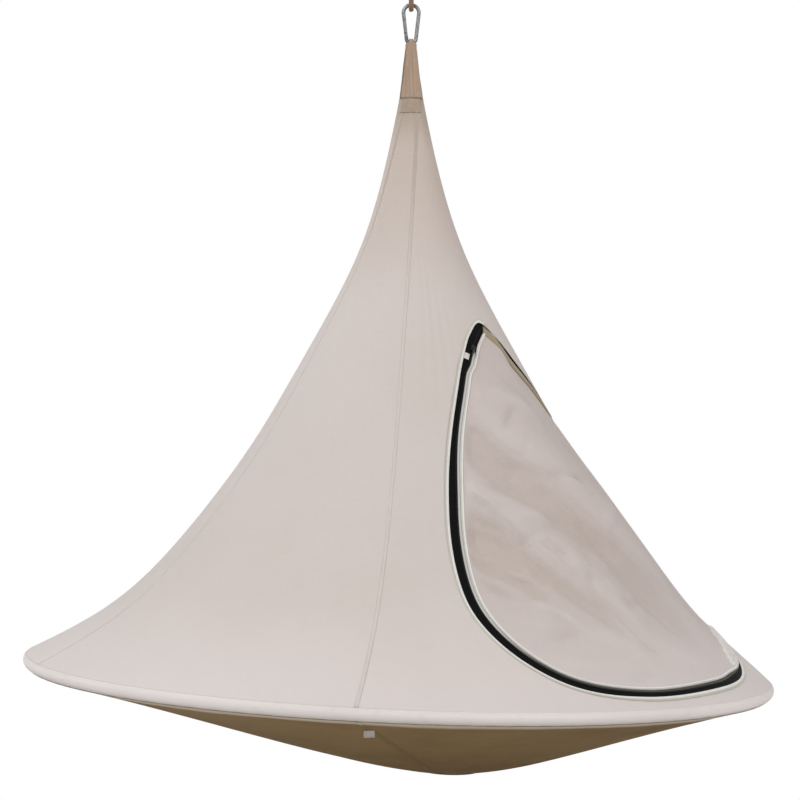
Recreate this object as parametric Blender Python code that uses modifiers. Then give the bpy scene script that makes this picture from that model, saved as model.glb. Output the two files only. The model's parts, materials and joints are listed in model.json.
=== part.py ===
"""A hanging tent: a flared canvas shell on a hoop, slung from one snap hook.

The origin is the middle of the ceiling plate's top face. +Z is up, the tent hangs
below the origin, and the viewer stands on the -Y side. Azimuths are counted in degrees
from the viewer's side (-Y) towards +X, and the doorway faces right of the viewer.
All sizes are in metres.
"""

import math

import bmesh
import bpy
import numpy as np
from mathutils import Matrix, Vector

# Clearances and cloth
gap = 0.0003
cloth = 0.0015
webbing = 0.0015

# Ceiling swivel
plate_radius = 0.036
plate_thickness = 0.004
plate_hole_radius = 0.0026
plate_hole_circle = 0.029
plate_hole_count = 3
housing_radius = 0.0165
housing_height = 0.016
housing_wall = 0.004
swivel_shank_radius = 0.004
swivel_head_radius = 0.0095
swivel_head_height = 0.004
washer_thickness = 0.0016
eye_ring_radius = 0.0145
eye_rod_radius = 0.004
eye_neck = 0.003

# Rope strop
rope_radius = 0.006
knot_radius = 0.0115
knot_length = 0.024
knot_height_above_bow = 0.041

# Snap hook
hook_drop = 0.130
hook_length = 0.098
hook_width = 0.046
hook_foot_flat = 0.0095
hook_foot_radius = 0.0065
hook_rod_radius = 0.0045
gate_radius = 0.0042
gate_hinge_at = 0.005
gate_nose_at = 0.0525
tongue_length = 0.010
tongue_thickness = 0.003
nose_tongue_length = 0.007
nose_tongue_thickness = 0.0024
gate_pin_radius = 0.0012
gate_pin_head_radius = 0.0021
gate_pin_head_height = 0.0007
spring_bore_radius = 0.0023
spring_bore_length = 0.019
spring_radius = 0.0016
spring_wire_radius = 0.0003
spring_turns = 5

# Shell
hoop_radius = 0.8752
tent_drop = 1.5123
landing_angle = 52.0
hoop_tilt = 2.42
hoop_low_side = 89.0
hoop_shift = -0.0304
lean_power = 7.2
shell_top = 0.1438
neck_flatness = 0.50
neck_ease = 0.0009
neck_ease_fade = 0.12
rim_ease = 0.0006
neck_round_at = 0.34
top_twist = 38.0
twist_fade = 0.20
profile = [
    (0.00, 0.020),
    (0.06, 0.024),
    (0.14, 0.0466),
    (0.24, 0.0862),
    (0.34, 0.1422),
    (0.44, 0.2249),
    (0.54, 0.3199),
    (0.64, 0.4197),
    (0.74, 0.5382),
    (0.82, 0.6441),
    (0.88, 0.7352),
    (0.93, 0.8314),
    (0.97, 0.9256),
    (1.00, 1.000),
]
seam_azimuths = [-5.6, 113.0, 172.0, 231.0, 292.5]
gore_steps = [18, 8, 8, 8, 8]
side_rows = 12
row_split_above_door = 0.035

# Hoop tube and its sleeve
hoop_tube_radius = 0.014
hoop_tube_wall = 0.0015
hoop_section_count = 5
tube_sides = 10
first_joint_station = 4
spigot_reach = 0.5
sleeve_open_sides = 4

# Floor
tip_offset = 0.1042
tip_drop = 0.2514
tip_roundness = 0.47
floor_tuck = 0.39
tip_hole = 0.035
floor_rings = [1.0, 0.88, 0.72, 0.54, 0.38, 0.24, 0.12, tip_hole]
tip_patch_reach = 0.075
floor_landing_angle = -78.0

# Top strap and patches
strap_thickness = 0.003
strap_fold_half_width = 0.0060
strap_top_half_width = 0.0108
strap_flare = 0.108
strap_crown_start = 0.020
patch_half_angle = 46.0
patch_height = 0.036
seam_web_width = 0.020
seam_web_top = 0.26
seam_web_end = 0.014
door_seam_ease = 0.0009

# Rim tab
tab_width = 0.023
tab_height = 0.0145
tab_thickness = 0.0026
tab_azimuth = -5.7
tab_inset = 0.060

# Doorway
door_azimuth = 56.0
doorway_half_angle = 46.0
doorway_top = 0.686
doorway_sill = 0.0215
doorway_outline = [
    (-0.170, 0.000),
    (-0.430, 0.037),
    (-0.600, 0.096),
    (-0.730, 0.168),
    (-0.870, 0.290),
    (-0.960, 0.425),
    (-1.000, 0.580),
    (-0.985, 0.718),
    (-0.925, 0.820),
    (-0.790, 0.917),
    (-0.620, 0.979),
    (-0.380, 1.001),
    (-0.060, 0.998),
    (0.240, 0.987),
    (0.450, 0.955),
    (0.610, 0.912),
    (0.770, 0.860),
    (0.900, 0.790),
    (0.980, 0.690),
    (1.000, 0.580),
    (0.970, 0.450),
    (0.880, 0.340),
    (0.710, 0.250),
    (0.490, 0.180),
    (0.290, 0.118),
    (0.090, 0.048),
]
corner_knots = [0, 2, 9, 16, 24, 26]
outline_samples = 1440
apex_fan = 0.012
apex_cut = 0.986
apex_strip = 0.002
binding_width = 0.009
binding_thickness = 0.0012
tape_width = 0.0165
tape_thickness = 0.001
closed_tape_width = 0.0097
zip_gap = 0.0030
door_tape_width = 0.0070
door_binding_width = 0.0065
hem_width = 0.018
slit_width = 0.008
door_bulge = 0.019
hem_ease = 0.0009
hem_blend = 0.05
door_rings = [1.0, 0.82, 0.60, 0.35]
door_middle = 0.60
zip_start = 0.0018
zip_end = 0.585
binding_end = 0.600
hinge_start = 0.660
slit_start = 0.860
slit_end = 0.970
hem_start = 0.895
hem_end = 0.985
slider_at = 0.030
slider_travel = 0.032
door_hinge_azimuth = 102.4
door_hinge_lift = 0.004
door_hinge_top = 0.98
door_hinge_low = 1.34

# Zip slider
slider_length = 0.016
slider_width = 0.012
slider_plate = 0.0015
slider_post_width = 0.0018
slider_post_length = 0.004
slider_clearance = 0.0008
puller_length = 0.022
puller_width = 0.006
puller_thickness = 0.0014
puller_cheek_thickness = 0.0011
puller_rest_tilt = 9.0
puller_pin_radius = 0.0007
pull_ring_radius = 0.0042
pull_ring_wire = 0.0008
stop_length = 0.004

# Worked out
rod_r = hook_rod_radius
bow_radius = hook_width / 2 - rod_r
bow_centre_z = -hook_drop - bow_radius
foot_z = -hook_drop - (hook_length - 2 * rod_r)
foot_centre_z = foot_z + hook_foot_radius
tube_step = 360 / tube_sides
tent_top_z = foot_z + rod_r + gap + strap_thickness
strap_shoulder = rod_r + gap + strap_thickness + 0.0016
hoop_z = tent_top_z - tent_drop
sleeve_radius = hoop_tube_radius + gap + cloth
landing_radius = hoop_radius + sleeve_radius * math.cos(math.radians(landing_angle))
landing_drop = tent_drop - sleeve_radius * math.sin(math.radians(landing_angle))
hoop_lean = math.tan(math.radians(hoop_tilt))


# Scene and object helpers


def clear_scene():
    """Remove every object that the file opened with."""
    for obj in list(bpy.data.objects):
        bpy.data.objects.remove(obj, do_unlink=True)


def new_collection(name):
    group = bpy.data.collections.new(name)
    bpy.context.scene.collection.children.link(group)
    return group


def paint(name, colour, roughness, metallic=0.0):
    """A Principled material with one colour, roughness and metallic value."""
    material = bpy.data.materials.new(name)
    material.use_nodes = True
    shader = material.node_tree.nodes["Principled BSDF"]
    shader.inputs["Base Color"].default_value = (*colour, 1.0)
    shader.inputs["Roughness"].default_value = roughness
    shader.inputs["Metallic"].default_value = metallic
    return material


clear_scene()
tent_group = new_collection("hanging_tent")
cutter_group = new_collection("cutters")

canvas = paint("shell_canvas", (0.62, 0.57, 0.53), 0.85)
door_cloth = paint("door_cloth", (0.58, 0.50, 0.46), 0.8)
floor_cloth = paint("floor_cloth", (0.42, 0.36, 0.27), 0.9)
strap_web = paint("strap_webbing", (0.42, 0.31, 0.22), 0.85)
white_binding = paint("white_binding", (0.72, 0.72, 0.66), 0.7)
zip_black = paint("zip_black", (0.012, 0.012, 0.012), 0.6)
zip_metal = paint("zip_metal", (0.05, 0.05, 0.05), 0.35, 0.8)
hem_tan = paint("hem_tan", (0.30, 0.23, 0.14), 0.85)
steel = paint("galvanised_steel", (0.55, 0.56, 0.57), 0.35, 1.0)
aluminium = paint("hoop_aluminium", (0.75, 0.76, 0.77), 0.3, 1.0)
rope_fibre = paint("rope_fibre", (0.30, 0.16, 0.07), 0.9)
nylon = paint("nylon", (0.8, 0.8, 0.78), 0.5)


def place(obj, material, group=None):
    obj.data.materials.clear()
    obj.data.materials.append(material)
    (group or tent_group).objects.link(obj)
    return obj


def mesh_object(name, points, faces, material, group=None):
    mesh = bpy.data.meshes.new(name)
    mesh.from_pydata([tuple(p) for p in points], [], faces)
    mesh.update()
    return place(bpy.data.objects.new(name, mesh), material, group)


def finish_bmesh(name, bm, material, group=None):
    mesh = bpy.data.meshes.new(name)
    bm.to_mesh(mesh)
    bm.free()
    return place(bpy.data.objects.new(name, mesh), material, group)


def smooth(obj, angle=35.0):
    obj.data.shade_smooth()
    obj.data.set_sharp_from_angle(angle=math.radians(angle))
    return obj


def set_axis(obj, point):
    """Move an object's origin to a point of its joint axis, leaving its shape in place."""
    point = Vector(point)
    obj.data.transform(Matrix.Translation(obj.location - point))
    obj.location = point
    return obj


def grid_faces(rows, columns, closed, flip):
    """Quads between neighbouring rows and columns of a grid of points."""
    faces = []
    for i in range(rows - 1):
        for j in range(columns if closed else columns - 1):
            k = (j + 1) % columns
            quad = (
                i * columns + j,
                i * columns + k,
                (i + 1) * columns + k,
                (i + 1) * columns + j,
            )
            faces.append(quad[::-1] if flip else quad)
    return faces


def thicken(obj, wall):
    """Give an open sheet its wall, inwards from the modelled face."""
    solid = obj.modifiers.new("wall", "SOLIDIFY")
    solid.thickness = wall
    solid.offset = -1.0
    solid.use_even_offset = True
    solid.thickness_clamp = 0.0
    return obj


def sheet_through(name, grid, material, wall, outside, column=0, closed=False):
    """A sheet through a grid of points with its wall, facing outside at a given column."""
    rows, columns = grid.shape[:2]
    step = -1 if column == columns - 1 else 1
    along = grid[1, column] - grid[0, column]
    across = (grid[0, column + step] - grid[0, column]) * step
    flip = float(np.dot(np.cross(across, along), outside)) < 0
    faces = grid_faces(rows, columns, closed, flip)
    obj = mesh_object(name, grid.reshape(-1, 3), faces, material)
    return smooth(thicken(obj, wall))


def sheet(name, points, material, wall, outside, closed=False):
    return sheet_through(name, np.asarray(points, float), material, wall, outside, 0, closed)


def tube(name, points, radius, material, cyclic=False, resolution=2):
    """A round bar along a line of points, with closed ends."""
    curve = bpy.data.curves.new(name, "CURVE")
    curve.dimensions = "3D"
    curve.bevel_depth = radius
    curve.bevel_resolution = resolution
    curve.use_fill_caps = True
    spline = curve.splines.new("POLY")
    spline.points.add(len(points) - 1)
    for spot, point in zip(spline.points, points):
        spot.co = (*point, 1.0)
    spline.use_cyclic_u = cyclic
    obj = bpy.data.objects.new(name, curve)
    return place(obj, material)


def as_mesh(obj):
    """Turn a tube into a closed mesh that a Boolean can cut."""
    bpy.context.view_layer.update()
    graph = bpy.context.evaluated_depsgraph_get()
    mesh = bpy.data.meshes.new_from_object(obj.evaluated_get(graph))
    bm = bmesh.new()
    bm.from_mesh(mesh)
    bmesh.ops.remove_doubles(bm, verts=bm.verts, dist=0.00001)
    bm.to_mesh(mesh)
    bm.free()
    name, material = obj.name, obj.data.materials[0]
    matrix = obj.matrix_world.copy()
    bpy.data.objects.remove(obj)
    made = bpy.data.objects.new(name, mesh)
    made.matrix_world = matrix
    return place(made, material)


def turned(name, profile_points, material, steps=24, centre=(0, 0, 0), group=None):
    """A solid turned about Z from a closed outline of (radius, height) points."""
    bm = bmesh.new()
    rings = []
    for k in range(steps):
        angle = 2 * math.pi * k / steps
        ring = []
        for radius, height in profile_points:
            spot = (radius * math.cos(angle), radius * math.sin(angle), height)
            ring.append(bm.verts.new(spot))
        rings.append(ring)
    count = len(profile_points)
    for k in range(steps):
        here, there = rings[k], rings[(k + 1) % steps]
        for i in range(count):
            j = (i + 1) % count
            bm.faces.new((here[i], there[i], there[j], here[j]))
    bmesh.ops.remove_doubles(bm, verts=bm.verts, dist=0.000001)
    bmesh.ops.dissolve_degenerate(bm, dist=0.000001, edges=bm.edges)
    poles = [v for v in bm.verts if math.hypot(v.co.x, v.co.y) < 0.000001]
    bmesh.ops.dissolve_verts(bm, verts=poles)
    bmesh.ops.recalc_face_normals(bm, faces=bm.faces)
    obj = finish_bmesh(name, bm, material, group)
    obj.location = centre
    return smooth(obj)


def block(name, size, matrix, material, group=None, bevel=0.0):
    """A box of a given size, placed by a matrix, with rounded edges if asked."""
    bm = bmesh.new()
    bmesh.ops.create_cube(bm, size=1.0)
    bmesh.ops.scale(bm, vec=Vector(size), verts=bm.verts)
    if bevel:
        bmesh.ops.bevel(
            bm,
            geom=bm.edges[:],
            offset=bevel,
            segments=2,
            affect="EDGES",
            profile=0.5,
        )
    obj = finish_bmesh(name, bm, material, group)
    obj.data.transform(matrix)
    return obj


def rod(name, radius, start, end, material, group=None, steps=20):
    """A straight round bar between two points."""
    start, end = Vector(start), Vector(end)
    bm = bmesh.new()
    bmesh.ops.create_cone(
        bm,
        cap_ends=True,
        segments=steps,
        radius1=radius,
        radius2=radius,
        depth=(end - start).length,
    )
    turn = Vector((0, 0, 1)).rotation_difference(end - start).to_matrix().to_4x4()
    obj = finish_bmesh(name, bm, material, group)
    obj.data.transform(Matrix.Translation((start + end) / 2) @ turn)
    return obj


def combine(target, other, operation):
    """Cut or join another mesh into a mesh with a Boolean."""
    change = target.modifiers.new(operation.lower(), "BOOLEAN")
    change.object = other
    change.operation = operation
    change.solver = "EXACT"
    other.hide_render = True
    other.display_type = "WIRE"
    if tent_group in other.users_collection:
        tent_group.objects.unlink(other)
        cutter_group.objects.link(other)
    return target


# Curves and surfaces of the tent


def natural_spline(xs, ys):
    """A function that runs smoothly through points, straight at both ends."""
    xs, ys = np.asarray(xs, float), np.asarray(ys, float)
    count = len(xs)
    step = np.diff(xs)
    matrix = np.eye(count)
    right = np.zeros(count)
    for i in range(1, count - 1):
        matrix[i, i - 1] = step[i - 1]
        matrix[i, i] = 2 * (step[i - 1] + step[i])
        matrix[i, i + 1] = step[i]
        slope_change = (ys[i + 1] - ys[i]) / step[i] - (ys[i] - ys[i - 1]) / step[i - 1]
        right[i] = 6 * slope_change
    bend = np.linalg.solve(matrix, right)

    def value(x):
        x = np.asarray(x, float)
        i = np.clip(np.searchsorted(xs, x) - 1, 0, count - 2)
        h = step[i]
        a = (xs[i + 1] - x) / h
        b = (x - xs[i]) / h
        curve = (a**3 - a) * bend[i] + (b**3 - b) * bend[i + 1]
        return a * ys[i] + b * ys[i + 1] + curve * h * h / 6

    return value


shell_radius = natural_spline(
    [share * landing_drop for share, _ in profile],
    [share * landing_radius for _, share in profile],
)


def twist(drop):
    """How far the seams are turned at a height, in degrees: most at the neck, none at the rim."""
    fade = np.exp(-(drop - shell_top) / twist_fade)
    return top_twist * fade * (1 - drop / landing_drop)


def lean(radius, azimuth):
    """How far the tilted hoop plane lies below its middle."""
    return radius * hoop_lean * np.cos(np.radians(azimuth - hoop_low_side))


def shell_face(azimuth, drop):
    """The shell's outer face at an azimuth and a depth below the strap's fold."""
    azimuth, drop = np.broadcast_arrays(
        np.asarray(azimuth, float), np.asarray(drop, float)
    )
    radius = shell_radius(drop)
    weight = (drop / landing_drop) ** lean_power
    roundness = np.clip((drop - shell_top) / (neck_round_at - shell_top), 0, 1)
    depth_share = neck_flatness + (1 - neck_flatness) * roundness * (2 - roundness)
    turn = np.radians(azimuth)
    x = hoop_shift * weight + radius * np.sin(turn)
    y = -radius * depth_share * np.cos(turn)
    z = tent_top_z - drop - lean(radius, azimuth) * weight
    return np.stack([x, y, z], axis=-1)


def shell_point(azimuth, drop, lift=0.0):
    """A point off the shell's outer face, by a distance along its outward normal."""
    base = shell_face(azimuth, drop)
    small = 0.0005
    around = shell_face(np.add(azimuth, 0.05), drop) - shell_face(
        np.subtract(azimuth, 0.05), drop
    )
    upper = np.maximum(np.subtract(drop, small), 0.0)
    lower = np.minimum(np.add(drop, small), landing_drop)
    down = shell_face(azimuth, lower) - shell_face(azimuth, upper)
    normal = np.cross(down, around)
    normal = normal / np.linalg.norm(normal, axis=-1, keepdims=True)
    return base + normal * np.asarray(lift, float)[..., None]


def station_azimuths():
    """The azimuths that every ring-shaped piece shares, seam to seam."""
    found = []
    for k, steps in enumerate(gore_steps):
        start = seam_azimuths[k]
        end = seam_azimuths[k + 1] if k + 1 < len(seam_azimuths) else seam_azimuths[0] + 360
        found += [start + (end - start) * i / steps for i in range(steps)]
    return np.array(found)


stations = station_azimuths()
station_count = len(stations)
full_turn_azimuths = np.r_[stations - 360, stations, stations[0] + 360]
full_turn_stations = np.arange(-station_count, station_count + 1)


def rim_vertex(station, out, up):
    """A corner of the hoop's many-sided ring, moved out and up from its centre line."""
    index = station % station_count
    azimuth = stations[index]
    turn = math.radians(azimuth)
    radius = hoop_radius + out
    return np.array(
        [
            hoop_shift + radius * math.sin(turn),
            -radius * math.cos(turn),
            hoop_z + up - lean(radius, azimuth),
        ]
    )


def rim_point(station, out, up):
    """A point of the ring at a whole or part station, on its straight sides."""
    low = math.floor(station)
    share = station - low
    start = rim_vertex(low, out, up)
    if share == 0:
        return start
    return start * (1 - share) + rim_vertex(low + 1, out, up) * share


def ring_grid(from_station, to_station, radius, angles):
    """A tube's skin along the hoop, as rows of stations by columns round the tube."""
    between = range(math.floor(from_station) + 1, math.ceil(to_station))
    marks = [from_station] + list(between) + [to_station]
    rows = []
    for mark in marks:
        row = []
        for angle in angles:
            out = radius * math.cos(math.radians(angle))
            up = radius * math.sin(math.radians(angle))
            row.append(rim_point(mark, out, up))
        rows.append(row)
    return np.array(rows)


def gore_drops():
    """The rows that every gore shares, from the neck to the hoop, closer where it flares."""
    split = doorway_top - row_split_above_door
    upper = np.linspace(shell_top, neck_round_at, 4)[:-1]
    middle = np.linspace(neck_round_at, split, 4)
    share = np.linspace(0, 1, side_rows + 1)[1:]
    lower = split + (landing_drop - split) * (1 - (1 - share) ** 1.25)
    return np.r_[upper, middle, lower]


top_rows = 7


def doorway_samples():
    """The doorway's edge as closely spaced (azimuth, drop) pairs, down the left side first."""
    height = landing_drop - doorway_sill - doorway_top
    knots = np.array(doorway_outline)
    count = len(knots)
    per_side = 40
    line = []
    for i in range(count):
        p0, p1 = knots[i - 1], knots[i]
        p2, p3 = knots[(i + 1) % count], knots[(i + 2) % count]
        for k in range(per_side):
            t = k / per_side
            square = 2 * p0 - 5 * p1 + 4 * p2 - p3
            cube = 3 * p1 - p0 - 3 * p2 + p3
            line.append(0.5 * (2 * p1 + (p2 - p0) * t + square * t * t + cube * t**3))
    line = np.array(line + [line[0]])
    azimuth = door_azimuth + doorway_half_angle * line[:, 0]
    drop = doorway_top + height * line[:, 1]
    spots = shell_face(azimuth, drop)
    along = np.r_[0, np.cumsum(np.linalg.norm(np.diff(spots, axis=0), axis=1))]
    even = np.linspace(0, along[-1], outline_samples, endpoint=False)
    corners = along[np.array(corner_knots) * per_side] / along[-1]
    return (
        np.interp(even, along, azimuth),
        np.interp(even, along, drop),
        float(along[-1]),
        corners,
    )


edge_azimuth, edge_drop, edge_length, corner_shares = doorway_samples()
half_top = gore_steps[0] // 2
corner_stations = np.cumsum([0, half_top, side_rows, gore_steps[0], side_rows, half_top])
edge_count = int(corner_stations[-1])
edge_shares = np.interp(np.arange(edge_count), corner_stations, corner_shares)


def edge_place(share, inset):
    """(azimuth, drop) at a share of the way round the doorway, moved in from its edge.

    Left of the apex all moves inwards are parallel, so the zip's bands end in one point
    on the right edge in place of folding over each other.
    """
    spot = (np.asarray(share, float) % 1.0) * outline_samples
    ring = np.arange(outline_samples + 1)
    azimuths = np.r_[edge_azimuth, edge_azimuth[0]]
    drops = np.r_[edge_drop, edge_drop[0]]
    here_a, here_d = np.interp(spot, ring, azimuths), np.interp(spot, ring, drops)
    fanned = (np.asarray(inset) > 0) & (spot < apex_fan * outline_samples)
    facing = np.where(fanned, apex_fan * outline_samples, spot)
    ahead, behind = (facing + 9) % outline_samples, (facing - 9) % outline_samples
    radius = shell_radius(here_d)
    slope = (shell_radius(here_d + 0.001) - shell_radius(here_d - 0.001)) / 0.002
    stretch = np.sqrt(1 + slope**2)
    go_a = np.interp(ahead, ring, azimuths) - np.interp(behind, ring, azimuths)
    go_d = np.interp(ahead, ring, drops) - np.interp(behind, ring, drops)
    along_a, along_d = np.radians(go_a) * radius, go_d * stretch
    size = np.hypot(along_a, along_d)
    in_a, in_d = along_d / size, -along_a / size
    azimuth = here_a + np.degrees(in_a * inset / radius)
    drop = here_d + in_d * inset / stretch
    return azimuth, drop


def edge_point(share, inset, lift=0.0):
    azimuth, drop = edge_place(share, inset)
    return shell_point(azimuth, drop, lift)


def station_at(share):
    """The station round the doorway's edge, whole or part, at a share of the way round."""
    turns = math.floor(share)
    shares = np.r_[edge_shares, 1.0]
    return turns * edge_count + float(np.interp(share - turns, shares, np.arange(edge_count + 1)))


def edge_spot(station, inset, lift):
    """A point on the straight line between two neighbouring stations of the edge."""
    low = math.floor(station)
    share = station - low
    start = edge_point(edge_shares[low % edge_count], inset, lift)
    if share < 1e-9:
        return start
    end = edge_point(edge_shares[(low + 1) % edge_count], inset, lift)
    return start * (1 - share) + end * share


def edge_band(name, start, end, insets, lifts, wall, material):
    """A flat band along the doorway's edge between two insets, its outer face at two lifts."""
    first, last = station_at(start), station_at(end)
    marks = [first] + list(range(math.floor(first) + 1, math.ceil(last))) + [last]
    grid = np.array(
        [[edge_spot(mark, inset, lift) for mark in marks] for inset, lift in zip(insets, lifts)]
    )
    middle = len(marks) // 2
    inset, lift = insets[0], lifts[0]
    outward = edge_spot(marks[middle], inset, lift + 1.0) - edge_spot(marks[middle], inset, lift)
    return sheet_through(name, grid, material, wall, outward, middle)


# Ceiling swivel


def ceiling_swivel():
    plate = turned(
        "ceiling_plate",
        [
            (0, 0),
            (plate_radius, 0),
            (plate_radius, -plate_thickness + 0.001),
            (plate_radius - 0.001, -plate_thickness),
            (0, -plate_thickness),
        ],
        steel,
        steps=36,
    )
    for k in range(plate_hole_count):
        angle = 2 * math.pi * (k + 0.5) / plate_hole_count
        x = plate_hole_circle * math.cos(angle)
        y = plate_hole_circle * math.sin(angle)
        drill = rod(
            f"plate_drill_{k + 1}",
            plate_hole_radius,
            (x, y, -2 * plate_thickness),
            (x, y, plate_thickness),
            steel,
            cutter_group,
            steps=12,
        )
        combine(plate, drill, "DIFFERENCE")
    top = -plate_thickness - gap
    low = top - housing_height
    floor_z = low + housing_wall
    hole = swivel_shank_radius + gap
    inner = swivel_head_radius + 0.001
    turned(
        "swivel_housing",
        [
            (inner, top),
            (housing_radius, top),
            (housing_radius, low + 0.003),
            (housing_radius - 0.003, low),
            (hole, low),
            (hole, floor_z),
            (inner, floor_z),
        ],
        steel,
    )
    washer_low = floor_z + gap
    turned(
        "swivel_washer",
        [
            (hole, washer_low + washer_thickness),
            (swivel_head_radius, washer_low + washer_thickness),
            (swivel_head_radius, washer_low),
            (hole, washer_low),
        ],
        nylon,
    )
    head_low = washer_low + washer_thickness + gap
    ring_top = low - eye_neck
    eye_centre = ring_top - eye_rod_radius - eye_ring_radius
    stem = turned(
        "swivel_eye",
        [
            (0, head_low + swivel_head_height),
            (swivel_head_radius, head_low + swivel_head_height),
            (swivel_head_radius, head_low),
            (swivel_shank_radius, head_low),
            (swivel_shank_radius, ring_top - eye_rod_radius),
            (0, ring_top - eye_rod_radius),
        ],
        steel,
        steps=24,
    )
    ring_points = []
    for k in range(24):
        angle = 2 * math.pi * (k + 0.5) / 24
        x = eye_ring_radius * math.cos(angle)
        z = eye_centre + eye_ring_radius * math.sin(angle)
        ring_points.append((x, 0, z))
    ring = as_mesh(
        tube("eye_ring", ring_points, eye_rod_radius, steel, cyclic=True, resolution=2)
    )
    combine(stem, ring, "UNION")
    return eye_centre


# Rope strop


def strop_route(eye_centre):
    """The rope's middle line: from the knot up, over the eye's foot, down and round the bow."""
    over = eye_rod_radius + rope_radius + gap
    under = rod_r + rope_radius + gap
    eye_foot = eye_centre - eye_ring_radius
    bow = -hook_drop
    knot_z = bow + knot_height_above_bow
    half = knot_length / 2 + gap
    steps = 7
    points = [(0, -under - 0.0005, knot_z + half)]
    points.append((0, -over - 0.0003, (knot_z + half + eye_foot) / 2))
    for k in range(steps + 1):
        turn = math.pi * k / steps
        points.append((0, -over * math.cos(turn), eye_foot + over * math.sin(turn)))
    for share in (0.33, 0.67):
        y = over + (under - over) * share
        points.append((0, y, eye_foot + (bow - eye_foot) * share))
    for k in range(steps + 1):
        turn = math.pi * k / steps
        points.append((0, under * math.cos(turn), bow - under * math.sin(turn)))
    points.append((0, -under, (bow + knot_z - half) / 2))
    points.append((0, -under - 0.0005, knot_z - half))
    return points, (0, -under - 0.0005, knot_z)


def rope_strop(eye_centre):
    points, knot_middle = strop_route(eye_centre)
    tube("rope_strop", points, rope_radius, rope_fibre)
    x, y, z = knot_middle
    half = knot_length / 2
    outline = [(0, half)]
    for k in range(1, 6):
        turn = math.pi * k / 6
        fat = knot_radius * math.sin(turn) ** 0.5
        outline.append((fat, half * math.cos(turn)))
    outline.append((0, -half))
    profile_points = [(rope_radius, half)] + outline[1:-1] + [(rope_radius, -half)]
    profile_points = [(0, half)] + profile_points + [(0, -half)]
    turned("rope_knot", profile_points, rope_fibre, steps=20, centre=(x, y - 0.002, z))


# Snap hook


def hook_lines():
    """The left leg's outward normal, the bow's middle and the foot's left corner, in XZ."""
    bow = Vector((0, 0, bow_centre_z))
    corner = Vector((-hook_foot_flat / 2, 0, foot_centre_z))
    reach = bow - corner
    turn = math.atan2(reach.z, reach.x)
    turn += math.acos((hook_foot_radius - bow_radius) / reach.length)
    return turn - math.pi, Vector((math.cos(turn), 0, math.sin(turn))), bow, corner


def left_leg(at):
    """A point on the left leg's middle line, at a distance up from the foot's tangent point."""
    _, left, bow, corner = hook_lines()
    start = corner + left * hook_foot_radius
    end = bow + left * bow_radius
    return start + (end - start).normalized() * at


def leg_frame(at):
    """A matrix at a place on the left leg, with Z along the leg and Y through the hook."""
    along = (left_leg(1.0) - left_leg(0.0)).normalized()
    across = Vector((0, 1, 0))
    side = across.cross(along)
    frame = Matrix((side, across, along)).transposed().to_4x4()
    return Matrix.Translation(left_leg(at)) @ frame


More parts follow.
